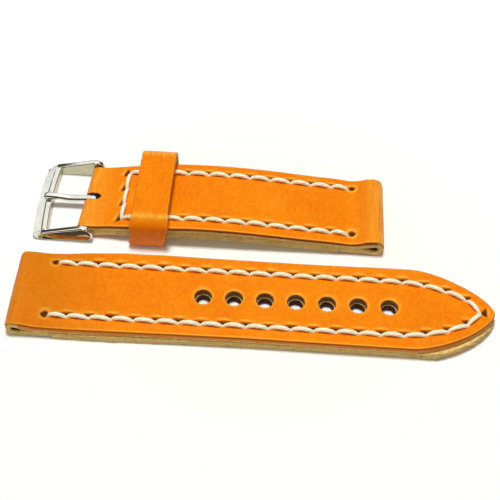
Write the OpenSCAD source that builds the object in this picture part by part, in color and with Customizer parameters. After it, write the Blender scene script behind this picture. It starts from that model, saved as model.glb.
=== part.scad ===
// Two-piece stitched leather watch strap with a pin buckle, lying open and flat.
// Both halves run along X. The lug fold of the long half and the front of the buckle are
// level with each other on the left, and the long half points to the right.
// The origin is on the floor, in the middle of the whole layout.

/* [Long half] */
// Length of the long half from its lug fold to its point
long_len = 120; // [112:1:132]
// Width of the long half
long_w = 24; // [22:0.5:26]
// Length over which the long half narrows to its point
tip_len = 20.5; // [17:0.5:24]
// How far the raw lining stands out past the grain layer at the point
lining_proud = 1.3; // [0:0.1:1.6]
// Number of buckle holes
hole_count = 7; // [5:1:8]
// Diameter of a buckle hole
hole_d = 4.2; // [3.4:0.1:4.8]
// Distance from one buckle hole to the next
hole_pitch = 7.7; // [7:0.1:8.2]
// Distance from the point to the first buckle hole
hole_start = 26.1; // [24:0.1:29]

/* [Short half] */
// Length of the short half from its buckle fold to its lug fold
short_len = 80; // [76:1:90]
// Width of the short half at the lugs
short_w = 23.2; // [22.5:0.1:24]
// Width of the short half where it goes round the buckle's spring bar
neck_w = 21.2; // [20:0.1:22]
// Distance from the spring bar to where the short half starts to widen
neck_len = 5.2; // [5:0.1:6]
// Distance over which the short half widens
widen_len = 14; // [10:1:18]
// Height of the arch under the short half
arch_h = 2.8; // [2.4:0.1:3.2]
// Distance from the spring bar to the top of the arch
arch_x = 30.5; // [28:0.5:34]
// Distance between the centrelines of the two halves
row_gap = 30.4; // [29:0.2:36]

/* [Leather] */
// Thickness of the grain layer
skin_t = 2; // [1.8:0.1:2.4]
// Thickness of the raw lining layer
lining_t = 2; // [1.8:0.1:2.2]
// Height of a lug loop
lug_loop_h = 4.9; // [4.7:0.1:5.6]
// Diameter of the bore in a lug loop
lug_bore_d = 1.8; // [1.5:0.1:2]
// Thickness of the thinned skin under the bore of a lug loop
lug_fold_t = 1.4; // [1:0.1:1.5]
// Length of the slit that runs from a lug bore in between the layers
lug_slit_len = 4.5; // [3:0.5:5.5]
// Length of the skin folded back under the strap behind a lug loop
lug_tail_len = 9; // [8:0.5:12]
// Length of the skin folded back under the strap behind the buckle loop
buckle_tail_len = 8; // [7.5:0.5:10]
// Height of the loop round the buckle's spring bar
buckle_loop_h = 4.2; // [4:0.1:4.4]
// Height of the buckle loop above the floor
buckle_loop_lift = 0.3; // [0.1:0.1:0.5]

/* [Stitching] */
// Diameter of the thread
thread_d = 1.1; // [0.8:0.1:1.2]
// Distance from the edge of the strap to a stitch row
row_inset = 4; // [3.5:0.1:4.5]
// Number of stitches in each row of the long half
long_stitches = 20; // [16:1:22]
// Number of stitches in each row of the short half
short_stitches = 11; // [9:1:12]
// Length of a stitch in the short half
short_pitch = 5.5; // [5:0.1:5.8]
// Number of stitches across the short half beside the buckle
cross_stitches = 3; // [2:1:4]
// Distance from the spring bar to the row across the short half
cross_x = 8.8; // [8.5:0.1:9.6]
// Distance from the lug fold to the first stitch of the long half
long_row_start = 9.5; // [9:0.5:12]
// Distance from the point to the stitch hole where both rows meet
long_row_end = 3; // [2.5:0.5:4]

/* [Keeper] */
// Width of the keeper along the strap
keeper_w = 9.3; // [8:0.1:11]
// Thickness of the keeper's leather
keeper_t = 1.25; // [1:0.05:1.4]
// Free height inside the keeper
keeper_in_h = 8.2; // [8:0.1:9.2]
// Distance from the spring bar to the keeper
keeper_x = 12.4; // [12.2:0.1:15]
// Radius of the keeper's upper corners
keeper_top_r = 3; // [2:0.25:4]
// Radius of the keeper's lower corners
keeper_low_r = 1.75; // [1.5:0.25:2.25]
// Diameter of the keeper's own thread
keeper_thread_d = 0.6; // [0.4:0.1:0.7]

/* [Buckle] */
// Distance from the spring bar to the front of the buckle
buckle_reach = 15.3; // [14.5:0.1:17]
// Thickness of a buckle arm
arm_t = 1.5; // [1.4:0.1:2.2]
// Radius of the round head of a buckle arm
head_r = 2.6; // [2.4:0.05:3]
// Distance from the spring bar forward to the centre of the arm's head
head_x = 0.9; // [0.6:0.1:1.2]
// Height of the front bar
bar_h = 2.8; // [2.4:0.1:3.2]
// Width of the front bar's flat top
bar_flat = 1.3; // [1:0.1:2]
// Width of the front bar at its foot
bar_foot = 4.4; // [4:0.1:5.2]
// Radius of the buckle's front corners, seen from above
corner_r = 2.5; // [1.5:0.25:3.5]
// How far the front bar bows forward in its middle
bow = 0.7; // [0.3:0.1:1]
// Width of the tongue
tongue_w = 1.9; // [1.6:0.1:2.4]
// Thickness of the tongue
tongue_t = 1.15; // [0.9:0.05:1.3]
// Depth of the dip in the middle of the tongue
tongue_dip = 0.3; // [0:0.05:0.5]
// Outer radius of the tongue's eye
eye_r = 1.4; // [1.3:0.05:1.6]

/* [Spring bar] */
// Outer diameter of the spring bar's tube
tube_d = 1.5; // [1.4:0.05:1.6]
// Length of the tube
tube_len = 18.4; // [17:0.1:18.6]
// Wall of the tube
tube_wall = 0.2; // [0.15:0.05:0.25]
// Diameter of the end pins
pin_d = 0.8; // [0.7:0.05:0.85]
// How far a pin reaches into its buckle arm
pin_reach = 0.85; // [0.6:0.05:1]
// Diameter of the collar on a pin
collar_d = 1.4; // [1.2:0.05:1.5]
// Thickness of the collar
collar_t = 0.2; // [0.15:0.05:0.3]
// Diameter of the spring's wire
spring_wire = 0.18; // [0.12:0.02:0.2]
// Number of turns of the spring
spring_turns = 14; // [10:1:16]

/* [Clearances] */
// Room between a turning or sliding metal piece and its bore
run_gap = 0.05; // [0.03:0.01:0.08]
// Room between the strap's edges and the buckle's arms
arm_gap = 0.3; // [0.2:0.05:0.4]
// Room between the strap's edges and the keeper
keeper_gap = 0.3; // [0.2:0.05:0.5]
// Room beside the tongue in its slot
slot_gap = 0.3; // [0.25:0.05:0.4]
// Glue line where two ends of leather meet
glue_gap = 0.1; // [0.05:0.05:0.2]

/* [Hidden] */
$fn = 48;

orange = "darkorange";
raw_tan = "tan";
cream = "ivory";
steel = "silver";

strap_t = skin_t + lining_t;
cut = 1;

// A stitch lies partly above the skin, and its uprights are a little thicker than its bars
thread_r = thread_d / 2;
thread_rise = 0.15;
upright_r = thread_r + 0.02;
channel_room = 0.1;

// Layout of the two halves on the floor
keeper_in_w = short_w + 2 * keeper_gap;
keeper_out_w = keeper_in_w + 2 * keeper_t;
keeper_out_h = keeper_in_h + 2 * keeper_t;
layout_w = long_w / 2 + row_gap + keeper_out_w / 2;
left_x = -long_len / 2;
long_y = -layout_w / 2 + long_w / 2;
short_y = long_y + row_gap;
axis_x = left_x + buckle_reach;

// Loops of leather round the spring bars
lug_r = lug_loop_h / 2;
lug_bore_r = lug_bore_d / 2;
lug_bore_z = lug_fold_t + lug_bore_r;
buckle_loop_r = buckle_loop_h / 2;
axis_z = buckle_loop_lift + buckle_loop_r;
tube_bore_in_leather = tube_d / 2 + 2 * run_gap;
short_lug_x = short_len - buckle_loop_r - lug_r;
shoulder = 6;
seam = 0.05;

// Height of the short half's underside above the floor, x counted from the spring bar
lift_start = 1.1;
arch_end = short_lug_x - 3;
lug_lift = 0.35;
function lift_left(x) =
    let (u = min(1, max(0, (x - lift_start) / (arch_x - lift_start))))
    buckle_loop_lift + (arch_h - buckle_loop_lift) * sin(90 * u);
function lift_right(x) =
    let (u = min(1, (x - arch_x) / (arch_end - arch_x)))
    lug_lift + (arch_h - lug_lift) * (1 + cos(180 * u)) / 2;
arch_steps = 36;
arch_xs = [for (i = [0 : arch_steps]) short_len * i / arch_steps];
lift_table = [for (x = arch_xs) [x, x < arch_x ? lift_left(x) : lift_right(x)]];
function lift(x) = lookup(x, lift_table);
function back_to_front(list) = [for (i = [len(list) - 1 : -1 : 0]) list[i]];

// Line that follows the arch from x1 to x2, at a height above the underside
function arch_line(x1, x2, height) =
    let (inner = [for (x = arch_xs) if (x > min(x1, x2) + seam && x < max(x1, x2) - seam) x])
    [for (x = concat([x1], x1 < x2 ? inner : back_to_front(inner), [x2])) [x, lift(x) + height]];

// Half width of the point, as a share of its full half width, u running from 0 to 1
function taper(u) = pow(1 - pow(u, 1.5), 0.64);
tip_steps = 20;
tip_us = [for (i = [0 : tip_steps]) sin(90 * i / tip_steps)];
tip_x = left_x + long_len - tip_len;
skin_tip = [for (u = tip_us) [tip_x + tip_len * u, long_w / 2 * taper(u)]];
lining_tip = [
    for (u = tip_us)
    [tip_x + tip_len * u, min(long_w / 2, long_w / 2 * taper(u) + lining_proud * pow(sin(180 * u), 0.4))]
];
function mirrored(list) = [for (p = list) [p.x, -p.y]];

// Stitch holes of the long half: evenly spaced along a row that bends in towards the point
long_row_y = long_w / 2 - row_inset;
row_bend = 1.5;
row_bend_x = tip_x - row_bend;
row_tip_len = left_x + long_len - long_row_end - row_bend_x;
long_row = concat(
    [[left_x + long_row_start, long_row_y]],
    [for (u = tip_us) [row_bend_x + row_tip_len * u, long_row_y * taper(u)]]
);
function lengths(path, i = 1, sums = [0]) =
    i == len(path) ? sums
    : lengths(path, i + 1, concat(sums, [sums[i - 1] + norm(path[i] - path[i - 1])]));
row_sums = lengths(long_row);
row_total = row_sums[len(row_sums) - 1];
x_table = [for (i = [0 : len(long_row) - 1]) [row_sums[i], long_row[i].x]];
y_table = [for (i = [0 : len(long_row) - 1]) [row_sums[i], long_row[i].y]];
row_holes = [
    for (i = [0 : long_stitches])
    let (s = row_total * i / long_stitches)
    [lookup(s, x_table), lookup(s, y_table)]
];
long_holes = concat(row_holes, [for (i = [long_stitches - 1 : -1 : 0]) [row_holes[i].x, -row_holes[i].y]]);

// Stitch holes of the short half: along the back row, across beside the buckle, along the front row
short_row_shift = 0.3;
short_row_y = short_w / 2 - row_inset + short_row_shift;
short_row = [for (i = [0 : short_stitches]) cross_x + short_pitch * i];
short_holes = concat(
    [for (i = [short_stitches : -1 : 0]) [short_row[i], short_row_y]],
    [for (i = [1 : cross_stitches - 1]) [cross_x, short_row_y * (1 - 2 * i / cross_stitches)]],
    [for (x = short_row) [x, -short_row_y]]
);

// Buckle, x counted from the spring bar and forwards
buckle_gap_w = neck_w + 2 * arm_gap;
buckle_w = buckle_gap_w + 2 * arm_t;
bar_back = buckle_reach - bar_foot;
bar_edge = bar_back + bar_flat;
bar_toe = 0.5;
bow_r = buckle_w * buckle_w / (8 * bow) + bow / 2;
function bar_skin(u) =
    let (v = min(1, max(0, (u - bar_edge) / (buckle_reach - bar_edge))))
    bar_toe + (bar_h - bar_toe) * sqrt(1 - v * v);

// Tongue, u counted from the spring bar and forwards
tongue_setback = 2.1;
tongue_end = buckle_reach - tongue_setback;
tongue_thinning = 0.4;
dip_u = bar_back * 0.52;
bar_u = bar_back - slot_gap;
root_z = axis_z + eye_r - seam - tongue_t;
rest_z = bar_h + run_gap;
function ease(v) = (1 - cos(180 * v)) / 2;
function tongue_under(u) =
    u < dip_u ? root_z - tongue_dip * ease(u / dip_u)
    : u < bar_u ? root_z - tongue_dip + (rest_z - root_z + tongue_dip) * ease((u - dip_u) / (bar_u - dip_u))
    : bar_skin(u) + run_gap;
function tongue_thickness(u) =
    tongue_t - tongue_thinning * max(0, u - bar_edge) / (tongue_end - bar_edge);
tongue_steps = 30;
tongue_us = [for (i = [0 : tongue_steps]) tongue_end * i / tongue_steps];
slot_w = tongue_w + 2 * slot_gap;
slot_end = eye_r;

// Spring bar, y counted from its middle
tube_r = tube_d / 2;
tube_in_r = tube_r - tube_wall;
pin_r = pin_d / 2;
lip_t = 0.5;
lip_r = pin_r + run_gap;
pin_end = buckle_gap_w / 2 + pin_reach;
collar_gap = 0.2;
collar_y = buckle_gap_w / 2 - collar_gap - collar_t;
head_t = 0.9;
head_end = tube_len / 2 - lip_t - run_gap;
head_start = head_end - head_t;
pin_head_r = tube_in_r - run_gap;

// Cylinder along +Y from y1 to y2
module y_cylinder(r, y1, y2) {
    translate([0, y1, 0]) rotate([-90, 0, 0]) cylinder(h = y2 - y1, r = r);
}

// Side view in X and Z, given a width across Y
module across(width) {
    rotate([90, 0, 0]) linear_extrude(height = width, center = true) children();
}

// Bore in a leather loop, with the slit that runs from it in between the layers, side is 1 or -1
module loop_bore(r, slit_len, side) {
    half = 0.6 * r;
    circle(r = r);
    polygon([[0, -side * half], [side * (r + slit_len), 0], [0, side * half]]);
}

// Round thread between two points
module thread_rod(a, b, r) {
    d = b - a;
    translate(a) rotate([0, acos(d.z / norm(d)), atan2(d.y, d.x)]) cylinder(h = norm(d), r = r, $fn = 16);
}

// Channel in the underside that a thread lies in, from a to b
module thread_channel(a, b) {
    d = b - a;
    side = thread_r + channel_room;
    len = norm(d) + 2 * thread_r;
    translate(a) rotate([0, acos(d.z / norm(d)), atan2(d.y, d.x)])
        translate([-side, -side, -thread_r]) cube([side + cut + thread_r, 2 * side, len]);
}

// Points of one stitch from hole a to hole b, turned a little across its row as hand stitches are
slant = 0.22;
function across_row(a, b) = let (d = b - a) [-d.y, d.x] / norm(d) * slant;
function stitch_from(a, b, z) = let (p = a + across_row(a, b)) [p.x, p.y, z];
function stitch_to(a, b, z) = let (p = b - across_row(a, b)) [p.x, p.y, z];

// Thread through a row of holes: one stitch above and one below between each two holes
module stitch_rows(holes, lows) {
    for (i = [0 : len(holes) - 2], rise = [thread_r, strap_t + thread_rise]) {
        a = holes[i];
        b = holes[i + 1];
        thread_rod(stitch_from(a, b, lows[i] + rise), stitch_to(a, b, lows[i + 1] + rise), thread_r);
    }
    for (i = [0 : len(holes) - 1])
        translate([holes[i].x, holes[i].y, lows[i] + thread_r])
            cylinder(h = strap_t + thread_rise - thread_r, r = upright_r, $fn = 16);
}

module stitch_channels(holes, lows) {
    for (i = [0 : len(holes) - 2]) {
        a = holes[i];
        b = holes[i + 1];
        thread_channel(stitch_from(a, b, lows[i] + thread_r), stitch_to(a, b, lows[i + 1] + thread_r));
    }
}

short_lows = [for (h = short_holes) lift(h.x)];
long_lows = [for (h = long_holes) 0];

// Outline of the short half from above, x counted from the spring bar
module short_outline() {
    half_neck = neck_w / 2;
    half = short_w / 2;
    x_left = -buckle_loop_r - cut;
    x_right = short_len;
    x_wide = neck_len + widen_len;
    polygon([
        [x_left, -half_neck], [neck_len, -half_neck], [x_wide, -half], [x_right, -half],
        [x_right, half], [x_wide, half], [neck_len, half_neck], [x_left, half_neck],
    ]);
}

module on_short_half() {
    translate([axis_x, short_y, 0]) children();
}

module tongue_slot() {
    translate([-buckle_loop_r - cut, -slot_w / 2, -cut])
        cube([buckle_loop_r + cut + slot_end, slot_w, strap_t + arch_h + 2 * cut]);
    translate([slot_end, 0, -cut]) cylinder(h = strap_t + arch_h + 2 * cut, r = slot_w / 2);
}

// Side view of the skin: along the top, round the lug loop, and back over the lining to both folds
module short_skin_profile() {
    lug_tail = short_lug_x - lug_tail_len;
    translate([0, axis_z]) circle(r = buckle_loop_r);
    translate([short_lug_x, lug_r]) circle(r = lug_r);
    polygon(concat(
        [[0, buckle_loop_lift + seam]],
        arch_line(lift_start, buckle_tail_len, 0),
        arch_line(buckle_tail_len, lug_tail, lining_t),
        arch_line(lug_tail, short_lug_x - shoulder / 2, 0),
        [[short_lug_x, seam], [short_lug_x, lug_loop_h - seam]],
        arch_line(short_lug_x - shoulder, 0, strap_t)
    ));
}

module short_top_leather() {
    color(orange) on_short_half() difference() {
        intersection() {
            across(short_w) difference() {
                short_skin_profile();
                translate([0, axis_z]) loop_bore(tube_bore_in_leather, 2, 1);
                translate([short_lug_x, lug_bore_z]) loop_bore(lug_bore_r, lug_slit_len, -1);
            }
            translate([0, 0, -cut]) linear_extrude(height = arch_h + strap_t + 3 * cut) short_outline();
        }
        tongue_slot();
        stitch_channels(short_holes, short_lows);
    }
}

module short_lining() {
    x1 = buckle_tail_len + glue_gap;
    x2 = short_lug_x - lug_tail_len - glue_gap;
    color(raw_tan) on_short_half() difference() {
        intersection() {
            across(short_w) polygon(concat(arch_line(x1, x2, 0), arch_line(x2, x1, lining_t)));
            translate([0, 0, -cut]) linear_extrude(height = arch_h + strap_t + 3 * cut) short_outline();
        }
        stitch_channels(short_holes, short_lows);
    }
}

module short_stitching() {
    color(cream) on_short_half() stitch_rows(short_holes, short_lows);
}

// Rectangle with its own corner radius above and below, standing on the X axis
module rounded_box(w, h, top_r, low_r) {
    for (side = [-1, 1]) {
        translate([side * (w / 2 - top_r), h - top_r]) circle(r = top_r);
        translate([side * (w / 2 - low_r), low_r]) circle(r = low_r);
    }
    translate([-w / 2, low_r]) square([w, h - low_r - top_r]);
    translate([-w / 2 + top_r, low_r]) square([w - 2 * top_r, h - low_r]);
    translate([-w / 2 + low_r, 0]) square([w - 2 * low_r, h - top_r]);
}

// The keeper's stitches cross the seam between its two ends, sunk into its underside
keeper_thread_r = keeper_thread_d / 2;
keeper_stitch_half = 1.6;
keeper_stitches = 3;
keeper_stitch_xs = [for (i = [1 : keeper_stitches]) keeper_x + keeper_w * i / (keeper_stitches + 1)];
keeper_thread_z = keeper_thread_r + seam;
keeper_channel = [2 * keeper_thread_d, 2 * (keeper_stitch_half + keeper_thread_d), cut + keeper_thread_d];

module keeper_loop() {
    color(orange) on_short_half() difference() {
        translate([keeper_x, 0, 0]) rotate([90, 0, 90]) linear_extrude(height = keeper_w) difference() {
            rounded_box(keeper_out_w, keeper_out_h, keeper_top_r, keeper_low_r);
            translate([0, keeper_t])
                rounded_box(keeper_in_w, keeper_in_h, keeper_top_r - keeper_t, keeper_low_r - keeper_t);
        }
        for (x = keeper_stitch_xs)
            translate([x - keeper_channel.x / 2, -keeper_channel.y / 2, -cut]) cube(keeper_channel);
    }
}

module keeper_stitch() {
    half = keeper_stitch_half;
    color(cream) on_short_half() for (x = keeper_stitch_xs) {
        translate([x, 0, keeper_thread_z]) y_cylinder(keeper_thread_r, -half, half);
        for (y = [-half, half])
            translate([x, y, keeper_thread_z])
                cylinder(h = keeper_t - keeper_thread_z, r = keeper_thread_r + seam);
    }
}

// Point where a line from p touches a circle of radius r round c, on its upper side
function touch_point(p, c, r) =
    let (d = c - p, along = sqrt(d * d - r * r), angle = atan2(d.y, d.x) + asin(r / norm(d)))
    p + along * [cos(angle), sin(angle)];

// Side view of a buckle arm, x counted from the spring bar
module arm_profile() {
    head = [-head_x, head_r];
    start = [-bar_edge, bar_h];
    translate(head) circle(r = head_r);
    polygon([touch_point(start, head, head_r), start, [-bar_edge, 0], [-head_x, 0], head]);
}

// Front bar with a flat top and a rounded front that bows forward, turned about the bow's centre
module front_bar() {
    from_centre = bow_r - buckle_reach;
    turn = 2 * asin((buckle_w / 2 + cut) / (bow_r - bar_foot - cut));
    steps = 12;
    profile = concat(
        [[from_centre + bar_back - cut, bar_h], [from_centre + bar_back - cut, 0]],
        [[from_centre + buckle_reach - bar_toe, 0]],
        [
            for (i = [steps : -1 : 0])
            let (u = bar_edge + (buckle_reach - bar_edge) * sin(90 * i / steps))
            [from_centre + u, bar_skin(u)]
        ]
    );
    intersection() {
        translate([from_centre, 0, 0]) rotate([0, 0, 180 - turn / 2])
            rotate_extrude(angle = turn, $fn = 180) polygon(profile);
        translate([-buckle_reach - cut, -buckle_w / 2, 0]) cube([bar_foot + cut, buckle_w, bar_h]);
    }
}

// Buckle from above: straight sides and rounded front corners
module buckle_outline() {
    back = head_r - head_x + cut;
    translate([-buckle_reach + corner_r, -buckle_w / 2]) square([buckle_reach - corner_r + back, buckle_w]);
    translate([-buckle_reach, -buckle_w / 2 + corner_r]) square([corner_r, buckle_w - 2 * corner_r]);
    for (side = [-1, 1])
        translate([-buckle_reach + corner_r, side * (buckle_w / 2 - corner_r)]) circle(r = corner_r);
}

module buckle_frame() {
    color(steel) on_short_half() difference() {
        intersection() {
            union() {
                for (side = [-1, 1])
                    translate([0, side * (buckle_gap_w + arm_t) / 2, 0]) across(arm_t) arm_profile();
                front_bar();
            }
            linear_extrude(height = 3 * head_r) buckle_outline();
        }
        translate([0, 0, axis_z])
            y_cylinder(pin_r + run_gap, -pin_end - run_gap, pin_end + run_gap);
    }
}

module buckle_tongue() {
    color(steel) on_short_half() across(tongue_w) difference() {
        union() {
            translate([0, axis_z]) circle(r = eye_r);
            polygon(concat(
                [for (u = tongue_us) [-u, tongue_under(u) + tongue_thickness(u)]],
                [for (u = back_to_front(tongue_us)) [-u, tongue_under(u)]]
            ));
        }
        translate([0, axis_z]) circle(r = tube_r + run_gap);
    }
}

module spring_bar_tube() {
    half = tube_len / 2;
    color(steel) on_short_half() translate([0, 0, axis_z]) difference() {
        y_cylinder(tube_r, -half, half);
        y_cylinder(tube_in_r, -half + lip_t, half - lip_t);
        y_cylinder(lip_r, -half - cut, half + cut);
    }
}

// End pin with its collar outside the tube and its head inside it, side is -1 or 1
module spring_bar_tip(side) {
    color(steel) on_short_half() translate([0, 0, axis_z]) mirror([0, side < 0 ? 1 : 0, 0]) {
        y_cylinder(pin_head_r, head_start, head_end);
        y_cylinder(pin_r, head_end, pin_end);
        y_cylinder(collar_d / 2, collar_y, collar_y + collar_t);
    }
}

module spring_bar_tip_front() {
    spring_bar_tip(-1);
}

module spring_bar_tip_back() {
    spring_bar_tip(1);
}

// Coil spring inside the tube, between the heads of the two end pins
module spring_bar_spring() {
    sides = 6;
    steps = 8;
    wire_r = spring_wire / 2;
    coil_r = tube_in_r - run_gap - wire_r;
    reach = head_start - wire_r - run_gap / 2;
    rings = spring_turns * steps;
    points = [
        for (i = [0 : rings], j = [0 : sides - 1])
        let (a = 360 * i / steps, b = 360 * j / sides, r = coil_r + wire_r * cos(b))
        [r * cos(a), -reach + 2 * reach * i / rings + wire_r * sin(b), r * sin(a)]
    ];
    skin = [
        for (i = [0 : rings - 1], j = [0 : sides - 1])
        let (a = i * sides + j, b = i * sides + (j + 1) % sides)
        each [[a, a + sides, b], [b, a + sides, b + sides]]
    ];
    first_end = [for (j = [1 : sides - 2]) [0, j, j + 1]];
    last_end = [for (j = [1 : sides - 2]) [rings * sides, rings * sides + j + 1, rings * sides + j]];
    color(steel) on_short_half() translate([0, 0, axis_z])
        polyhedron(points = points, faces = concat(skin, first_end, last_end));
}

// Outline of the long half from above, up to the given edge of its point
module long_outline(back_tip, front_tip) {
    polygon(concat(
        [[left_x - cut, long_w / 2]], back_tip,
        mirrored(back_to_front(front_tip)), [[left_x - cut, -long_w / 2]]
    ));
}

module buckle_holes() {
    for (i = [0 : hole_count - 1])
        translate([left_x + long_len - hole_start - hole_pitch * i, 0, -cut])
            cylinder(h = strap_t + 2 * cut, d = hole_d);
}

module long_skin_profile() {
    lug_x = left_x + lug_r;
    tail_x = lug_x + lug_tail_len;
    right_x = left_x + long_len;
    translate([lug_x, lug_r]) circle(r = lug_r);
    polygon([
        [lug_x + lug_r / 2, 0], [tail_x, 0], [tail_x, lining_t], [right_x, lining_t],
        [right_x, strap_t], [lug_x + shoulder, strap_t], [lug_x, lug_loop_h - seam], [lug_x, seam],
    ]);
}

module long_top_leather() {
    color(orange) translate([0, long_y, 0]) difference() {
        intersection() {
            across(long_w) difference() {
                long_skin_profile();
                translate([left_x + lug_r, lug_bore_z]) loop_bore(lug_bore_r, lug_slit_len, 1);
            }
            linear_extrude(height = lug_loop_h) long_outline(skin_tip, skin_tip);
        }
        buckle_holes();
        stitch_channels(long_holes, long_lows);
    }
}

module long_lining() {
    x1 = left_x + lug_r + lug_tail_len + glue_gap;
    color(raw_tan) translate([0, long_y, 0]) difference() {
        intersection() {
            translate([x1, -long_w / 2, 0]) cube([left_x + long_len - x1, long_w, lining_t]);
            linear_extrude(height = lining_t) long_outline(skin_tip, lining_tip);
        }
        buckle_holes();
        stitch_channels(long_holes, long_lows);
    }
}

module long_stitching() {
    color(cream) translate([0, long_y, 0]) stitch_rows(long_holes, long_lows);
}

short_top_leather();
short_lining();
short_stitching();
keeper_loop();
keeper_stitch();
buckle_frame();
buckle_tongue();
spring_bar_tube();
spring_bar_tip_front();
spring_bar_tip_back();
spring_bar_spring();
long_top_leather();
long_lining();
long_stitching();
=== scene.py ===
"""Looks of a stitched leather watch strap with a pin buckle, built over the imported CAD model.

Lengths are in millimetres up to the moment a mesh is made, when they become metres.
"""
import math
from functools import cached_property
from itertools import product

import bmesh
import bpy
import numpy as np
from mathutils import Matrix, Vector
from mathutils.geometry import delaunay_2d_cdt


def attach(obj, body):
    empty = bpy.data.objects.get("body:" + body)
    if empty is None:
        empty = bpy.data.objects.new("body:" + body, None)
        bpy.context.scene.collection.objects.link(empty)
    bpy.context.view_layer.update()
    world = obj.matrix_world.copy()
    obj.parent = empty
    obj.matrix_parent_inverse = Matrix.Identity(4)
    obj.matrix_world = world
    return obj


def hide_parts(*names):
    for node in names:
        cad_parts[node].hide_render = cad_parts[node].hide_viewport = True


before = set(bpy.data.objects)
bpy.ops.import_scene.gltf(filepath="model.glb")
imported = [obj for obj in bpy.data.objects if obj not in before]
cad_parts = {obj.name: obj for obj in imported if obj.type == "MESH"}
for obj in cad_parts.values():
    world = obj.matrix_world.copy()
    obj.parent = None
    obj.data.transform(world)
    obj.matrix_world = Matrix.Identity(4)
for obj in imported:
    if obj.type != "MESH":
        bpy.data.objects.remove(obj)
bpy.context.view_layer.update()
MM = 0.001
rng = np.random.default_rng(7)


# Sizes shared with the CAD model

LONG_LEN, LONG_W = 120.0, 24.0
TIP_LEN, LINING_PROUD = 20.5, 1.3
HOLE_COUNT, HOLE_R, HOLE_PITCH, HOLE_START = 7, 2.1, 7.7, 26.1
SHORT_LEN, SHORT_W, NECK_W = 80.0, 23.2, 21.2
NECK_LEN, WIDEN_LEN = 5.2, 14.0
ARCH_H, ARCH_X = 2.8, 30.5
ROW_GAP = 30.4
SKIN_T, LINING_T = 2.0, 2.0
STRAP_T = SKIN_T + LINING_T
LUG_R, LUG_BORE_R, LUG_FOLD_T, LUG_SLIT, LUG_TAIL = 2.45, 0.9, 1.4, 4.5, 9.0
LUG_BORE_Z = LUG_FOLD_T + LUG_BORE_R
BUCKLE_LOOP_R, BUCKLE_LIFT, BUCKLE_TAIL, BUCKLE_BORE_R = 2.1, 0.3, 8.0, 0.85
AXIS_Z = BUCKLE_LIFT + BUCKLE_LOOP_R
SHOULDER = 6.0
GLUE_GAP = 0.1
ROW_INSET, LONG_STITCHES, LONG_ROW_START, LONG_ROW_END, ROW_BEND = 4.0, 20, 9.5, 3.0, 1.5
SHORT_STITCHES, SHORT_PITCH, CROSS_X, CROSS_STITCHES = 11, 5.5, 8.8, 3
SHORT_ROW_SHIFT = 0.3
KEEPER_X, KEEPER_W, KEEPER_T, KEEPER_GAP, KEEPER_IN_H = 12.4, 9.3, 1.25, 0.3, 8.2
KEEPER_TOP_R, KEEPER_LOW_R = 3.0, 1.75
KEEPER_OUT_W = SHORT_W + 2 * (KEEPER_GAP + KEEPER_T)
KEEPER_OUT_H = KEEPER_IN_H + 2 * KEEPER_T
SLOT_HALF, SLOT_END = 1.02, 1.4
BUCKLE_REACH = 15.3
THREAD_R = 0.55

LAYOUT_W = LONG_W / 2 + ROW_GAP + KEEPER_OUT_W / 2
LEFT_X = -LONG_LEN / 2
LONG_Y = -LAYOUT_W / 2 + LONG_W / 2
SHORT_Y = LONG_Y + ROW_GAP
AXIS_X = LEFT_X + BUCKLE_REACH
SHORT_LUG_X = SHORT_LEN - BUCKLE_LOOP_R - LUG_R
ARCH_END = SHORT_LUG_X - 3
LUG_LIFT = 0.35
LIFT_START = 1.1
LONG_AT = (0, LONG_Y, 0)
SHORT_AT = (AXIS_X, SHORT_Y, 0)


# Small numeric helpers

def smooth(a, b, x):
    t = np.clip((np.asarray(x, float) - a) / (b - a), 0, 1)
    return t * t * (3 - 2 * t)


def bump(d, width):
    return np.exp(-((d / width) ** 2))


def columns(*values):
    return np.column_stack(values)


def unit(v):
    return v / np.linalg.norm(v, axis=-1, keepdims=True)


def run_of(path):
    """Length along a path at each of its points."""
    return np.concatenate([[0], np.cumsum(np.linalg.norm(np.diff(path, axis=0), axis=1))])


def on_path(s, run, path):
    """Points of a plane path, or values beside it, at the lengths s."""
    return columns(*(np.interp(s, run, path[:, k]) for k in (0, 1)))


def lattice(ix, iy, iz, seed):
    """Repeatable pseudo-random number from -1 to 1 for each lattice point."""
    n = (ix * 73856093) ^ (iy * 19349663) ^ (iz * 83492791) ^ (seed * 2654435761)
    n = (n ^ (n >> 13)) * 1274126177
    n = n ^ (n >> 16)
    return (n & 0xFFFF) / 32767.5 - 1


def wobble(points, size, seed=0):
    """Smooth noise from -1 to 1 at points (n, 3), with features of about the given size."""
    p = np.asarray(points, float) / size
    base = np.floor(p).astype(np.int64)
    f = p - base
    f = f * f * (3 - 2 * f)
    total = np.zeros(len(p))
    for corner in product((0, 1), repeat=3):
        weight = np.where(corner, f, 1 - f).prod(1)
        total += weight * lattice(*(base + corner).T, seed)
    return total


def wobble2(x, y, size, seed=0):
    return wobble(columns(x, y, np.zeros(len(x))), size, seed)


def arc(centre, r, start, end, count):
    """Points along an arc, angles in degrees."""
    a = np.radians(np.linspace(start, end, count))
    return columns(centre[0] + r * np.cos(a), centre[1] + r * np.sin(a))


# Meshes

def smooth_mesh(name, points, faces, materials, slots=None, wear_and_painted_light=()):
    """Mesh from points in millimetres, with a material number per face and up to four values a point of marks
    and painted light.
    """
    mesh = bpy.data.meshes.new(name)
    mesh.from_pydata((np.asarray(points) * MM).tolist(), [], [list(map(int, f)) for f in faces])
    for m in materials:
        mesh.materials.append(m)
    if slots is not None:
        mesh.polygons.foreach_set("material_index", np.asarray(slots, np.int32))
    mesh.polygons.foreach_set("use_smooth", np.ones(len(mesh.polygons), bool))
    if wear_and_painted_light:
        values = np.zeros((len(points), 4), np.float32)
        values[:, :len(wear_and_painted_light)] = columns(*wear_and_painted_light)
        layer = mesh.color_attributes.new("wear_and_painted_light", "FLOAT_COLOR", "POINT")
        layer.data.foreach_set("color", values.ravel())
    mesh.update()
    return mesh


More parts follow.
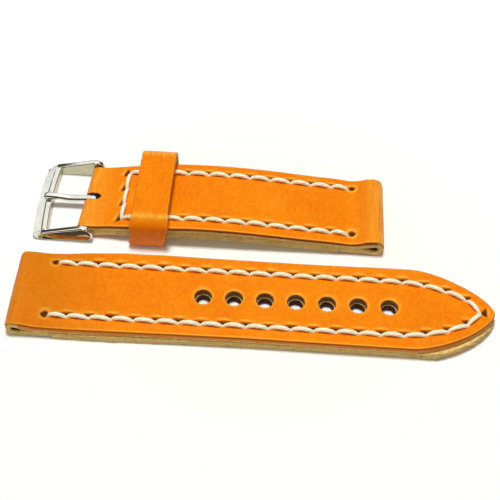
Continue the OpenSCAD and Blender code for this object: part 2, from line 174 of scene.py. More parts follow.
def linked(name, data):
    obj = bpy.data.objects.new(name, data)
    bpy.context.scene.collection.objects.link(obj)
    return obj


def add_piece(name, mesh, body, slot, *nodes):
    """Piece that rides on a body and replaces CAD nodes. Its slot is not used."""
    obj = linked(name, mesh)
    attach(obj, body)
    if nodes:
        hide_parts(*nodes)


def resampled(loop, step):
    """Points spaced evenly along a closed loop, keeping its sharp corners."""
    out = []
    for a, b in zip(loop, np.roll(loop, -1, 0)):
        n = max(1, int(round(np.linalg.norm(b - a) / step)))
        out.extend(a + (b - a) * i / n for i in range(n))
    return np.array(out)


def inset_loop(loop, distance):
    """Loop moved to its left by a distance, which is inwards for a counterclockwise loop."""
    d1 = unit(loop - np.roll(loop, 1, 0))
    d2 = unit(np.roll(loop, -1, 0) - loop)
    n = unit(columns(-(d1[:, 1] + d2[:, 1]), d1[:, 0] + d2[:, 0]))
    cos_half = np.clip(n[:, 0] * -d1[:, 1] + n[:, 1] * d1[:, 0], 0.6, 1)
    return loop + n * (distance / cos_half)[:, None]


def outward(loop):
    """Unit direction out of a counterclockwise loop at each of its points."""
    d = unit(np.roll(loop, -1, 0) - np.roll(loop, 1, 0))
    return columns(d[:, 1], -d[:, 0])


def inside(points, loop):
    x, y = points[:, 0], points[:, 1]
    hit = np.zeros(len(points), bool)
    for (x1, y1), (x2, y2) in zip(loop, np.roll(loop, -1, 0)):
        if y1 != y2:
            hit ^= ((y1 > y) != (y2 > y)) & (x < (x2 - x1) * (y - y1) / (y2 - y1) + x1)
    return hit


def grid_points(low, high, step):
    """Triangular grid of points over a rectangle."""
    out = []
    for i, y in enumerate(np.arange(low[1], high[1], step * 0.866)):
        xs = np.arange(low[0] + (i % 2) * step / 2, high[0], step)
        out.append(columns(xs, np.full(len(xs), y)))
    return np.vstack(out)


# Share of the outer rim's insets that a hole's rim has, and the room of points away from the outer rim
HOLE_RIM = 0.3
FAR = 9.0


def filling(outer, holes, inset, zones):
    """Points inside a rim, spaced as the first zone that each of them lies in says."""
    chosen, taken = [], []
    for spacing, test in zones:
        p = grid_points(outer.min(0), outer.max(0), spacing)
        keep = test(p)
        for other in taken:
            keep &= ~other(p)
        p = p[keep]
        p = p[inside(p, inset_loop(outer, inset + 0.5 * spacing))]
        for h in holes:
            p = p[~inside(p, inset_loop(h, inset * HOLE_RIM + 0.5 * spacing))]
        chosen.append(p)
        taken.append(test)
    return np.vstack(chosen)


def triangulated(rings, fill):
    """Points, triangles and the point numbers of each ring, for the area between an outer ring and holes."""
    edges, start = [], 0
    for ring in rings:
        n = len(ring)
        edges += [(start + i, start + (i + 1) % n) for i in range(n)]
        start += n
    corners = [Vector(p) for p in np.vstack(rings + [fill])]
    flat, _, faces, origin, _, _ = delaunay_2d_cdt(corners, edges, [], 0, 1e-6)
    flat = np.array([tuple(v) for v in flat])
    tris = np.array([f for f in faces if len(f) == 3])
    middle = flat[tris].mean(1)
    keep = inside(middle, rings[0])
    for ring in rings[1:]:
        keep &= ~inside(middle, ring)
    tris = tris[keep]
    a, b, c = flat[tris[:, 0]], flat[tris[:, 1]], flat[tris[:, 2]]
    turn = (b[:, 0] - a[:, 0]) * (c[:, 1] - a[:, 1]) - (b[:, 1] - a[:, 1]) * (c[:, 0] - a[:, 0])
    tris[turn < 0] = tris[turn < 0][:, ::-1]
    place = {o: i for i, os in enumerate(origin) for o in os}
    numbers = np.array([place[k] for k in range(start)])
    return flat, tris, np.split(numbers, np.cumsum([len(r) for r in rings])[:-1])


class Sheet:
    """A flat piece of leather cut to a loop with holes, which is then bent and pressed into shape.

    Its points have a place (s, y) on the flat sheet, a depth from 0 on the grain side to 1 on the flesh
    side, and room, the distance in from the outer rim.
    """

    def __init__(self, outer, holes, edge, zones):
        """edge is a list of (inset, depth); zones is a list of (spacing, test), the finest first."""
        rings = [outer] + holes
        scales = [1.0] + [HOLE_RIM] * len(holes)
        insets = [inset_loop(r, edge[0][0] * k) for r, k in zip(rings, scales)]
        flat, tris, ring_ids = triangulated(insets, filling(outer, holes, edge[0][0], zones))
        n = len(flat)
        cap_out = np.zeros((n, 2))
        rim_out = [outward(r) for r in rings]
        for ids, out in zip(ring_ids, rim_out):
            cap_out[ids] = out
        outs, points, depth, room = [cap_out], [flat], [np.full(n, edge[0][1])], [np.full(n, FAR)]
        side, side_level, in_hole = [], [], []

        def join(before, after, level, scale):
            for i in range(len(before)):
                j = (i + 1) % len(before)
                side.append([before[j], before[i], after[i], after[j]])
            side_level.extend([level] * len(before))
            in_hole.extend([scale < 1] * len(before))

        last_rings = []
        count = n
        for ring, ids, out, scale in zip(rings, ring_ids, rim_out, scales):
            for level, (inset, d) in enumerate(edge[1:-1], 1):
                outs.append(out)
                points.append(inset_loop(ring, inset * scale))
                depth.append(np.full(len(ring), d))
                room.append(np.full(len(ring), inset if scale == 1 else FAR))
                current = np.arange(count, count + len(ring))
                count += len(ring)
                join(ids, current, level, scale)
                ids = current
            last_rings.append(ids)
        for ids, last, scale in zip(ring_ids, last_rings, scales):
            join(last, ids + count, len(edge) - 1, scale)
        top, bottom = tris.tolist(), (tris[:, ::-1] + count).tolist()
        self.outward = np.vstack(outs + [cap_out])
        self.flat = np.vstack(points + [flat])
        self.depth = np.concatenate(depth + [np.full(n, edge[-1][1])])
        self.room = np.concatenate(room + [np.full(n, FAR)])
        self.faces = top + side + bottom
        self.level = np.array([0] * len(top) + side_level + [len(edge)] * len(bottom))
        self.in_hole = np.array([False] * len(top) + in_hole + [False] * len(bottom))
        self.middle = np.array([self.flat[f].mean(0) for f in self.faces])


class Fold:
    """Side view of a bent sheet: where its grain side and its flesh side run, by the length s on it."""

    def __init__(self, grain, flesh, upper=None):
        self.grain, self.flesh, self.upper = grain, flesh, upper
        self.s = run_of(grain)
        tangent = unit(np.gradient(grain, self.s, axis=0))
        self.normal = columns(-tangent[:, 1], tangent[:, 0])

    def at(self, s, depth, lift):
        """Place in the side view at a depth, raised off the grain side by lift."""
        grain, flesh, normal = (on_path(s, self.s, path) for path in (self.grain, self.flesh, self.normal))
        return (grain + (flesh - grain) * depth[:, None] + normal * (lift * (1 - depth))[:, None]).T

    def to_s(self, x):
        """Length on the sheet at which its upper side passes x."""
        return np.interp(x, self.grain[self.upper, 0], self.s[self.upper])


# Material helpers

def srgb(r, g, b):
    """Linear colour from a picture's 0 to 255 values."""
    out = []
    for v in (r, g, b):
        v /= 255
        out.append(v / 12.92 if v <= 0.04045 else ((v + 0.055) / 1.055) ** 2.4)
    return (*out, 1.0)


class Nodes:
    """A node tree, a new material's unless one is given, with short ways to add nodes and links."""

    def __init__(self, name, tree=None):
        if tree is None:
            self.material = bpy.data.materials.new(name)
            self.material.use_nodes = True
            tree = self.material.node_tree
            self.shader = tree.nodes["Principled BSDF"]
        self.tree = tree

    def add(self, kind, inputs=None, **settings):
        """New node, with inputs by the name or number of their sockets."""
        node = self.tree.nodes.new("ShaderNode" + kind)
        for key, value in settings.items():
            setattr(node, key, value)
        for key, value in (inputs or {}).items():
            self.put(node.inputs[key], value)
        return node

    def put(self, socket, value):
        if isinstance(value, bpy.types.NodeSocket):
            self.tree.links.new(value, socket)
        else:
            socket.default_value = value

    def set(self, **inputs):
        for key, value in inputs.items():
            self.put(self.shader.inputs[key.replace("_", " ")], value)

    def math(self, operation, a, b):
        return self.add("Math", {0: a, 1: b}, operation=operation).outputs[0]

    def between(self, value, low, high):
        """Smooth step from 0 at low to 1 at high."""
        inputs = {"Value": value, "From Min": low, "From Max": high}
        return self.add("MapRange", inputs, interpolation_type="SMOOTHSTEP").outputs["Result"]

    def wear_and_painted_light(self):
        """The four values of marks and painted light on a mesh."""
        node = self.add("Attribute", attribute_name="wear_and_painted_light")
        split = self.add("SeparateColor", {"Color": node.outputs["Color"]})
        return [*split.outputs, node.outputs["Alpha"]]

    def coated(self, colour, *coats):
        """Colour under coats of (factor, colour), the last on top."""
        for factor, coat in coats:
            colour = self.add("Mix", {0: factor, 6: colour, 7: coat}, data_type="RGBA").outputs[2]
        return colour

    def stretch(self, vector, scale):
        return self.add("Mapping", {"Vector": vector, "Scale": scale}).outputs[0]

    @cached_property
    def place(self):
        """Object coordinates in millimetres."""
        return self.stretch(self.add("TexCoord").outputs["Object"], (1000, 1000, 1000))

    def noise(self, scale, detail=3.0, roughness=0.55, distortion=0.0):
        """Noise with features per millimetre, as one number or as one for each axis."""
        place = self.place
        if isinstance(scale, tuple):
            place, scale = self.stretch(place, scale), 1.0
        inputs = {"Scale": scale, "Detail": detail, "Roughness": roughness, "Distortion": distortion}
        return self.add("TexNoise", {"Vector": place, **inputs}).outputs[0]

    def ramp(self, factor, *stops):
        """Colour ramp through (position, colour) stops; a plain number stands for a grey."""
        node = self.add("ValToRGB", {0: factor})
        elements = node.color_ramp.elements
        while len(elements) < len(stops):
            elements.new(0.5)
        for element, (position, colour) in zip(elements, stops):
            element.position = position
            element.color = colour if isinstance(colour, tuple) else (colour, colour, colour, 1)
        return node.outputs[0]

    def bumped(self, *layers):
        """Surface normal from layers of (height, distance in metres, strength)."""
        normal = {}
        for height, distance, strength in layers:
            inputs = {"Height": height, "Distance": distance, "Strength": strength, **normal}
            normal = {"Normal": self.add("Bump", inputs).outputs[0]}
        return normal["Normal"]


ORANGE = srgb(243, 127, 4)
ORANGE_DEEP = srgb(230, 106, 1)
ORANGE_LIGHT = srgb(252, 152, 18)
# Pale orange of stretched leather, also laid on as a painted highlight on bends, rims and stitch puckers
ORANGE_STRETCH_HIGHLIGHT = srgb(254, 184, 66)
ORANGE_GRIT = srgb(226, 96, 4)
# Painted shade in the awl pits beside the stitches
PIT_SHADE_BROWN = srgb(54, 16, 6)
BURNT = srgb(206, 100, 22)
BURNT_LIGHT = srgb(228, 134, 40)
BURNT_DARK = srgb(112, 48, 12)
RAW_TAN = srgb(254, 210, 112)
RAW_DARK = srgb(212, 158, 76)
RAW_LIGHT = srgb(255, 238, 180)
CREAM = srgb(255, 251, 222)
CREAM_SHADE = srgb(226, 186, 112)
CREAM_SPOT = srgb(250, 232, 190)
LEATHER_TINT = (1.0, 0.5, 0.08, 1)


def grain_leather():
    """Smooth vegetable-tanned grain side: speckled orange, paler where it is bent, with a painted highlight
    along bends and rounded rims and painted shade in the awl pits.
    """
    n = Nodes("grain_leather")
    pit_shade, pucker_and_highlight, bend_and_highlight, burn = n.wear_and_painted_light()
    cloud = n.ramp(n.noise(0.09, 3.0, 0.5, 0.4), (0.3, ORANGE_DEEP), (0.52, ORANGE), (0.8, ORANGE_LIGHT))
    speck = n.ramp(n.noise(1.1, 5.0, 0.7), (0.3, ORANGE_DEEP), (0.5, ORANGE), (0.72, ORANGE_LIGHT))
    grit = n.ramp(n.noise(3.4, 3.0, 0.7), (0.55, 0.0), (0.72, 0.5))
    strands = n.ramp(n.noise((1.8, 0.6, 0.25), 3.0, 0.6, 0.4), (0.46, 0.0), (0.7, 0.45))
    streaks = n.ramp(n.noise((2.0, 0.14, 2.0), 4.0, 0.65, 0.3), (0.34, 0.1), (0.62, 1.0))
    # Paler where the leather is bent: stretched grain and a painted highlight
    bend_highlight_amount = n.math("MULTIPLY", n.math("MULTIPLY", bend_and_highlight, streaks), 0.85)
    # Stitch puckers and rounded rims: paler, with a painted highlight
    pucker_highlight_amount = n.math("MULTIPLY", pucker_and_highlight, 0.9)
    colour = n.coated(
        cloud, (0.6, speck), (grit, ORANGE_GRIT), (strands, ORANGE_LIGHT), (bend_highlight_amount, ORANGE_STRETCH_HIGHLIGHT),
        (pucker_highlight_amount, ORANGE_STRETCH_HIGHLIGHT), (burn, BURNT_DARK), (pit_shade, PIT_SHADE_BROWN),
    )
    cells = {"Vector": n.place, "Scale": 3.6, "Smoothness": 0.4}
    pores = n.add("TexVoronoi", cells, feature="SMOOTH_F1").outputs[0]
    wrinkle = n.math("MULTIPLY", bend_and_highlight, n.noise((1.8, 0.12, 1.8), 4.0, 0.6, 0.8))
    normal = n.bumped(
        (pores, 0.00003, 0.5), (n.noise(4.5, 4.0, 0.65), 0.00005, 0.6),
        (n.noise(0.6, 4.0, 0.55), 0.00025, 0.3), (wrinkle, 0.0003, 0.9),
    )
    rough = n.ramp(n.noise(0.8, 4.0, 0.6), (0.3, 0.36), (0.7, 0.5))
    n.set(Base_Color=colour, Roughness=rough, Normal=normal)
    n.set(Specular_IOR_Level=0.4, Specular_Tint=LEATHER_TINT)
    return n.material


def burnished_edge(name, dark, light):
    """Waxed and rubbed edge of the grain layer."""
    n = Nodes(name)
    lines = n.noise((0.25, 0.25, 3.0), 4.0, 0.6)
    patch = n.ramp(n.noise(0.5, 4.0, 0.6), (0.45, 0.0), (0.7, 0.35))
    colour = n.coated(n.ramp(lines, (0.3, dark), (0.7, light)), (patch, BURNT), (n.wear_and_painted_light()[3], BURNT_DARK))
    n.set(Base_Color=colour, Roughness=0.42, Normal=n.bumped((lines, 0.0001, 0.5)))
    n.set(Specular_IOR_Level=0.45, Specular_Tint=LEATHER_TINT)
    return n.material


def raw_leather(name, dark, middle, light, patch_colour):
    """Undyed cut edge and flesh side: fibrous and matt."""
    n = Nodes(name)
    fibres = n.noise((0.9, 0.9, 4.2), 6.0, 0.72, 1.0)
    patch = n.ramp(n.noise(0.9, 4.0, 0.6), (0.4, 0.0), (0.75, 0.6))
    colour = n.coated(n.ramp(fibres, (0.36, dark), (0.48, middle), (0.61, light)), (patch, patch_colour))
    normal = n.bumped((fibres, 0.0004, 1.0), (n.noise(6.0, 3.0, 0.7), 0.00012, 0.7))
    n.set(Base_Color=colour, Roughness=0.88, Normal=normal)
    n.set(Specular_IOR_Level=0.2, Sheen_Weight=0.15, Sheen_Roughness=0.5)
    return n.material


def fuzz_fibre():
    n = Nodes("leather_fibre")
    colour = n.ramp(n.noise(0.8, 2.0), (0.35, srgb(228, 188, 120)), (0.65, srgb(254, 236, 190)))
    n.set(Base_Color=colour, Roughness=0.8, Specular_IOR_Level=0.2)
    return n.material


def waxed_thread():
    """Cream thread: the first of the four values is painted shade between the plies."""
    n = Nodes("waxed_thread")
    shade = n.math("MULTIPLY", n.wear_and_painted_light()[0], 0.4)
    spots = n.ramp(n.noise(1.2), (0.5, 0.0), (0.75, 0.4))
    colour = n.coated(CREAM, (shade, CREAM_SHADE), (spots, CREAM_SPOT))
    normal = n.bumped((n.noise((3.0, 6.0, 6.0), 3.0, 0.6), 0.0001, 0.5))
    n.set(Base_Color=colour, Roughness=0.42, Normal=normal, Specular_IOR_Level=0.6, Sheen_Weight=0.1)
    return n.material


def polished_steel():
    n = Nodes("polished_steel")
    rough = n.ramp(n.noise((0.4, 1.6, 1.6), 3.0, 0.5), (0.3, 0.05), (0.7, 0.12))
    tone = n.ramp(n.noise(0.3, 2.0), (0.3, srgb(214, 212, 202)), (0.7, srgb(228, 226, 218)))
    n.set(Base_Color=tone, Metallic=1.0, Roughness=rough, Normal=n.bumped((n.noise(0.5, 2.0), 0.0002, 0.12)))
    return n.material


def lined_steel(name, lines, dark, light, rough, strength):
    """Steel with the fine lines of its making, their spacing given for each axis."""
    n = Nodes(name)
    lines = n.noise(lines, 3.0, 0.6)
    n.set(Base_Color=n.ramp(lines, (0.3, dark), (0.7, light)), Metallic=1.0, Roughness=rough)
    n.set(Normal=n.bumped((lines, 0.00005, strength)))
    return n.material


GRAIN = grain_leather()
BURNISHED = burnished_edge("burnished_edge", BURNT, BURNT_LIGHT)
BURNISHED_DARK = burnished_edge("burnished_edge_dark", srgb(96, 40, 12), srgb(160, 78, 24))
RAW = raw_leather("raw_leather", RAW_DARK, RAW_TAN, RAW_LIGHT, srgb(242, 194, 96))
# Raw leather darkened as painted shade, for the flesh side inside the folds and the walls of the tongue slot
# and of the lining's holes
INNER_SHADE = raw_leather(
    "raw_leather_inner_shade", srgb(58, 22, 16), srgb(96, 44, 26), srgb(140, 84, 48), srgb(76, 34, 20)
)
# A darker copy of the raw leather for the walls of the holes: painted shade
SHADED_HOLE_WALL = raw_leather(
    "shaded_hole_wall", srgb(92, 58, 30), srgb(158, 112, 60), srgb(206, 160, 94), srgb(130, 84, 44)
)
FIBRE = fuzz_fibre()
THREAD = waxed_thread()
POLISHED = polished_steel()
# The buckle's inner sides are rougher steel than the rest, and darker: a painted shaded reflection
SATIN_SHADED = lined_steel("satin_steel_shaded", (0.3, 0.3, 2.5), srgb(176, 172, 140), srgb(200, 197, 168), 0.32, 0.3)
DRAWN = lined_steel("drawn_steel", (6.0, 0.4, 6.0), 0.5, 0.66, 0.3, 0.4)


# Shape of the two halves

TIP_X = LEFT_X + LONG_LEN - TIP_LEN
TIP_US = np.sin(np.linspace(0, math.pi / 2, 40))
HOLE_XS = LEFT_X + LONG_LEN - HOLE_START - HOLE_PITCH * np.arange(HOLE_COUNT)
LUG_SLIT_LEN = LUG_BORE_R + LUG_SLIT
BUCKLE_SLIT_LEN = BUCKLE_BORE_R + 2.0
LUG_PARTING, BUCKLE_PARTING = 1.6, 1.3


def lift(x):
    """Height of the short half's underside, x counted from the spring bar."""
    x = np.asarray(x, float)
    u = np.clip((x - LIFT_START) / (ARCH_X - LIFT_START), 0, 1)
    rising = BUCKLE_LIFT + (ARCH_H - BUCKLE_LIFT) * np.sin(u * math.pi / 2)
    v = np.clip((x - ARCH_X) / (ARCH_END - ARCH_X), 0, 1)
    falling = LUG_LIFT + (ARCH_H - LUG_LIFT) * (1 + np.cos(v * math.pi)) / 2
    return np.where(x < ARCH_X, rising, falling)


def taper(u):
    """Half width of the long half's point as a share, from 1 at its start to 0 at its end."""
    return (1 - np.clip(u, 0, 1) ** 1.5) ** 0.64


def parted(distance, slit, power):
    """How far a fold's layers have parted at a distance from its bar: 1 at the bar, 0 where the slit ends."""
    return np.clip((slit - distance) / slit, 0, 1) ** power


def long_stitch_holes():
    """Holes along the back row, round the point and back along the front row, y from the centreline."""
    row_y = LONG_W / 2 - ROW_INSET
    bend_x = TIP_X - ROW_BEND
    tip_len = LEFT_X + LONG_LEN - LONG_ROW_END - bend_x
    tip = columns(bend_x + tip_len * TIP_US, row_y * taper(TIP_US))
    path = np.vstack([[LEFT_X + LONG_ROW_START, row_y], tip])
    run = run_of(path)
    back = on_path(np.linspace(0, run[-1], LONG_STITCHES + 1), run, path)
    return np.vstack([back, back[-2::-1] * [1, -1]])


def short_stitch_holes():
    """The same for the short half, x counted from the spring bar."""
    row_y = SHORT_W / 2 - ROW_INSET + SHORT_ROW_SHIFT
    xs = CROSS_X + SHORT_PITCH * np.arange(SHORT_STITCHES + 1)
    across = row_y * (1 - 2 * np.arange(1, CROSS_STITCHES) / CROSS_STITCHES)
    parts = [(xs[::-1], row_y + 0 * xs), (CROSS_X + 0 * across, across), (xs, 0 * xs - row_y)]
    return np.vstack([columns(*part) for part in parts])


LONG_HOLES = long_stitch_holes()
SHORT_HOLES = short_stitch_holes()

# The thread pulls each hole one way, and the leather is left open on its other side
PULL = 0.38
LONG_PITS, SHORT_PITS = (np.tile([0.0, 1.0], (len(holes), 1)) for holes in (LONG_HOLES, SHORT_HOLES))
SHORT_PITS[SHORT_STITCHES:SHORT_STITCHES + CROSS_STITCHES + 1] = [-0.94, 0.34]
LONG_PULL, SHORT_PULL = -PULL * LONG_PITS, -PULL * SHORT_PITS
LONG_PITS[LONG_STITCHES] = [1.0, 0.0]
LONG_PULL[LONG_STITCHES] = [-0.7, -0.5]

PIT_DEPTH, DRAG_DEPTH, RIM_RISE = 0.62, 0.16, 0.1
PRESS_DEPTH, PRESS_ROOM, SWELL_RISE = 0.2, 0.7, 0.05
PIT_TIP, PIT_SPREAD, PIT_REACH, PIT_EDGE = 0.15, 1.2, 0.66, 0.16


def pit_mask(along, away, last, size):
    """1 in the hole that the awl left: a triangle beside a stitch, a diamond past the last one."""
    if last:
        return smooth(0, 0.4, 1 - np.abs(along) / (1.2 * size) - np.abs(away - 0.1) / (0.9 * size))
    half = PIT_TIP + PIT_SPREAD * size * np.clip((away + 0.3) / 1.1, 0, 1)
    reach = PIT_REACH * size
    beside = smooth(-0.5, -0.25, away) * (1 - smooth(reach, reach + 0.26, away))
    return smooth(-PIT_EDGE, PIT_EDGE, half - np.abs(along)) * beside


def stitch_press(p, holes, pits):
    """How far the stitches press the grain side in at points p (negative is in), with the painted shade of
    the pits and the pale puckers beside them, which carry a painted highlight.
    """
    rise, pit_shade, pucker_and_highlight = np.zeros((3, len(p)))
    for i, (h, d) in enumerate(zip(holes, pits)):
        near = np.where(np.abs(p - h).max(1) < 3)[0]
        q = p[near] - h
        along = q @ np.array([d[1], -d[0]])
        away = q @ d
        last = i in (0, len(holes) - 1)
        size = 1.12 + 0.16 * lattice(i, 1, 2, 3)
        mask = pit_mask(along, away, last, size)
        rim = bump(along, 1.35) * bump(away - 1.3 * size, 0.34)
        if last:
            rim = np.maximum(rim, bump(np.hypot(along, away) - 1.3, 0.3))
        rise[near] -= PIT_DEPTH * mask + DRAG_DEPTH * bump(along, 1.5) * bump(away - 0.2, 0.9)
        rise[near] += RIM_RISE * rim
        # Painted shade in each awl pit
        pit_shade[near] = np.maximum(pit_shade[near], mask**0.6)
        pucker_and_highlight[near] = np.maximum(pucker_and_highlight[near], rim * (1 - mask))
    for a, b in zip(holes[:-1], holes[1:]):
        near = np.where(np.abs(p - (a + b) / 2).max(1) < 4.5)[0]
        d = unit(b - a)
        q = p[near] - a
        along = np.clip(q @ d, 0.4, np.linalg.norm(b - a) - 0.4)
        off = np.linalg.norm(q - along[:, None] * d, axis=1)
        rise[near] -= PRESS_DEPTH * bump(off, PRESS_ROOM)
        rise[near] += SWELL_RISE * bump(off - 1.3, 0.4)
    return rise, pit_shade, pucker_and_highlight


# Section of a cut edge from the grain side to the flesh side, as (inset, depth)
SKIN_EDGE = [
    (0.6, 0.0), (0.42, 0.015), (0.26, 0.05), (0.12, 0.11), (0.04, 0.19), (0.0, 0.3),
    (0.0, 0.45), (0.02, 0.6), (0.05, 0.75), (0.06, 0.9), (0.12, 1.0), (0.6, 1.0),
]
RAW_EDGE = [
    (0.5, 0.0), (0.2, 0.03), (0.05, 0.1), (0.0, 0.22), (0.0, 0.34), (0.0, 0.46),
    (0.0, 0.58), (0.0, 0.7), (0.0, 0.82), (0.02, 0.94), (0.2, 1.0), (0.5, 1.0),
]
# How many steps of the edge are still grain, outside and in a hole
GRAIN_LEVELS, HOLE_GRAIN_LEVELS = 4, 3
GRAIN_FACE, BURNT_FACE, RAW_FACE, INNER_SHADE_FACE, HOLE_FACE = range(5)


def skin_slots(sheet, upper, fold_mid, burnt):
    """Material number of each face of a skin. Its edge is burnished down to a level on the upper part."""
    s, level, hole = sheet.middle[:, 0], sheet.level, sheet.in_hole
    out = np.full(len(level), RAW_FACE)
    out[(level <= burnt) & (s > upper[0]) & (s < upper[1])] = BURNT_FACE
    out[level <= GRAIN_LEVELS] = GRAIN_FACE
    out[hole] = HOLE_FACE
    out[hole & (level <= HOLE_GRAIN_LEVELS)] = GRAIN_FACE
    # The flesh side inside a fold takes the painted shade
    out[(level == len(SKIN_EDGE)) & (np.abs(s - fold_mid) < 7)] = INNER_SHADE_FACE
    return out


def rim_marks(sheet, far=0.0):
    """Painted highlight along the rounded edge of a skin, weaker along the far edges; the burnt lines above
    and below its cut side, and a darker line along the far top edges.
    """
    room, depth = sheet.room, sheet.depth
    # Painted highlight: a pale line where the rounded edge turns
    edge_highlight = 0.75 * bump(room - 0.42, 0.2) * (depth < 0.1)
    burn = 0.8 * (room < 0.14) * (depth < 0.25) + 0.8 * (room < 0.2) * (depth > 0.85)
    behind = far * (sheet.outward[:, 1] > 0.6) * (room < 0.3) * (depth < 0.2)
    return edge_highlight * (1 - 0.6 * behind), np.maximum(burn, behind)


def moved_edge(x, y, half, back, front):
    """y with the sides of a strap drawn in or out along tables of (place, distance)."""
    table = np.where(y > 0, np.interp(x, *zip(*back)), -np.interp(x, *zip(*front)))
    return y + table * smooth(0.62 * half, 0.97 * half, np.abs(y))


def off_path(p, path):
    """Distance of each of the points p from a path."""
    off = np.full(len(p), 99.0)
    for a, b in zip(path[:-1], path[1:]):
        d = b - a
        t = np.clip(((p - a) @ d) / (d @ d), 0, 1)
        off = np.minimum(off, np.linalg.norm(p - a - t[:, None] * d, axis=1))
    return off


def near_path(path, room):
    """Test for the points that lie within some room of a path."""
    return lambda p: off_path(p, path) < room


def groove(p, path, room=0.9, depth=1.15):
    """Rise of a groove along a stitched path, negative inwards."""
    return -depth * (1 - smooth(0.5 * room, room, off_path(p, path)))


def rounded_end(x, end_x, direction, radius, half):
    """Factor that draws a strap's sides in at the rounded corners of a fold at end_x."""
    d = np.clip(direction * (x - end_x), 0, radius)
    drawn = radius - np.sqrt(np.maximum(0, radius**2 - (radius - d) ** 2))
    return (half - drawn) / half


def sides_of(xs, half):
    """Closed counterclockwise loop of a strip with a half width for each place along it."""
    return np.vstack([columns(xs, -half), columns(xs, half)[::-1]])


def everywhere(p):
    return np.ones(len(p), bool)


def pressed(sheet, stitches, pits, on_top, grooves, seed):
    """Rise of a skin from its stitches, grooves and slight waves; its painted pit shade, puckers and rims
    with a painted highlight, and burn.
    """
    s, y = sheet.flat.T
    rise, pit_shade, pucker_and_highlight = (v * on_top for v in stitch_press(sheet.flat, stitches, pits))
    for row, where in grooves:
        rise += groove(sheet.flat, row) * where
    rise += 0.05 * wobble2(s, y, 7.0, seed + 1) + 0.02 * wobble2(s, y, 2.2, seed + 2)
    edge_highlight, burn = rim_marks(sheet, 0.6)
    return rise, pit_shade, np.maximum(pucker_and_highlight, edge_highlight), burn


def bent(sheet, bend_and_highlight, across, seed):
    """Paleness and a painted highlight at a bend, with faint patches beside it, and the rise of the fine
    wrinkles across a bend.
    """
    s, y = sheet.flat.T
    patches = 0.12 * smooth(0.3, 0.8, wobble2(s, y, 9, seed + 4))
    return np.maximum(bend_and_highlight, patches), 0.035 * across * wobble2(s, y * 0.12, 0.9, seed + 6)


def add_skin(name, sheet, place, at, edge, shaded_hole_wall, slots, wear_and_painted_light, seed, body, node):
    """Grain skin, whose cut side is a little uneven below its burnished part."""
    x, y, z = place
    frayed = (sheet.depth > 0.55) & (sheet.depth < 1)
    y = y + frayed * sheet.outward[:, 1] * 0.09 * wobble(columns(x, y, z), 0.5, seed + 9)
    materials = [GRAIN, edge, RAW, INNER_SHADE, shaded_hole_wall]
    mesh = smooth_mesh(name, columns(x, y, z) + at, sheet.faces, materials, slots, wear_and_painted_light)
    add_piece(name, mesh, body, "grain_leather", node)


def raw_shift(sheet, points, size, seed):
    """In and outward unevenness of a cut edge."""
    rim = (sheet.depth > 0.05) & (sheet.depth < 0.99)
    coarse = 0.65 * wobble(points * [1, 1, 2.5], 0.9, seed)
    fine = 0.5 * wobble(points * [1, 1, 2.0], 0.35, seed + 1)
    return sheet.outward * (rim * size * (coarse + fine))[:, None]


def lining_sheet(outer, holes, stitches):
    """Flat lining with a groove for its stitches, and the height of its points over its underside."""
    sheet = Sheet(outer, holes, RAW_EDGE, [(0.35, near_path(stitches, 1.4)), (1.0, everywhere)])
    return sheet, LINING_T * sheet.depth - groove(sheet.flat, stitches) * (1 - sheet.depth)


# The long half

LUG_X = LEFT_X + LUG_R
LONG_TAIL_X = LUG_X + LUG_TAIL
LONG_FOLD_S = LUG_TAIL + math.pi * LUG_R / 2
LONG_BACK_MOVES = [
    (-60, -1.3), (-54, -1.25), (-48, -0.95), (-43, -0.4), (-33, 0.2), (-22, 0.3), (-12, 0.15), (16, 0.0),
    (32, 0.2), (46, 0.25), (60, 0.3),
]
LONG_FRONT_MOVES = [(-60, 0.0), (-44, 0.2), (-24, -0.1), (0, -0.3), (22, -0.1), (40, 0.0)]
LINING_FRONT_MOVES = [(-60, 0.3), (-36, 0.45), (-21, 0.1), (-5, -0.15), (26, -0.15), (44, 0.0)]
LINING_HOLE_R = HOLE_R - 0.36


def long_top(x):
    """Height of the long half's upper side."""
    x = np.asarray(x, float)
    return STRAP_T + (2 * LUG_R - STRAP_T) * (1 - smooth(LUG_X, LUG_X + SHOULDER, x))


def long_fold():
    """Side view of the long half's skin from the end of its folded tail, round the lug bar, to the point."""
    low = np.linspace(LONG_TAIL_X, LUG_X, 40)[:-1]
    top = np.linspace(LUG_X, LEFT_X + LONG_LEN, 400)[1:]
    low_part, top_part = (parted(xs - LUG_X, LUG_SLIT_LEN, LUG_PARTING) for xs in (low, top))
    grain = np.vstack([
        columns(low, 0 * low), arc((LUG_X, LUG_R), LUG_R, -90, -270, 60), columns(top, long_top(top)),
    ])
    flesh = np.vstack([
        columns(low, LINING_T + (LUG_FOLD_T - LINING_T) * low_part),
        arc((LUG_X, LUG_BORE_Z), LUG_BORE_R, -90, -270, 60),
        columns(top, LINING_T + (LUG_BORE_Z + LUG_BORE_R - LINING_T) * top_part),
    ])
    return Fold(grain, flesh, grain[:, 1] > LUG_R)


def round_hole(x, r):
    return arc((x, 0), r, 0, -360, 65)[:-1]


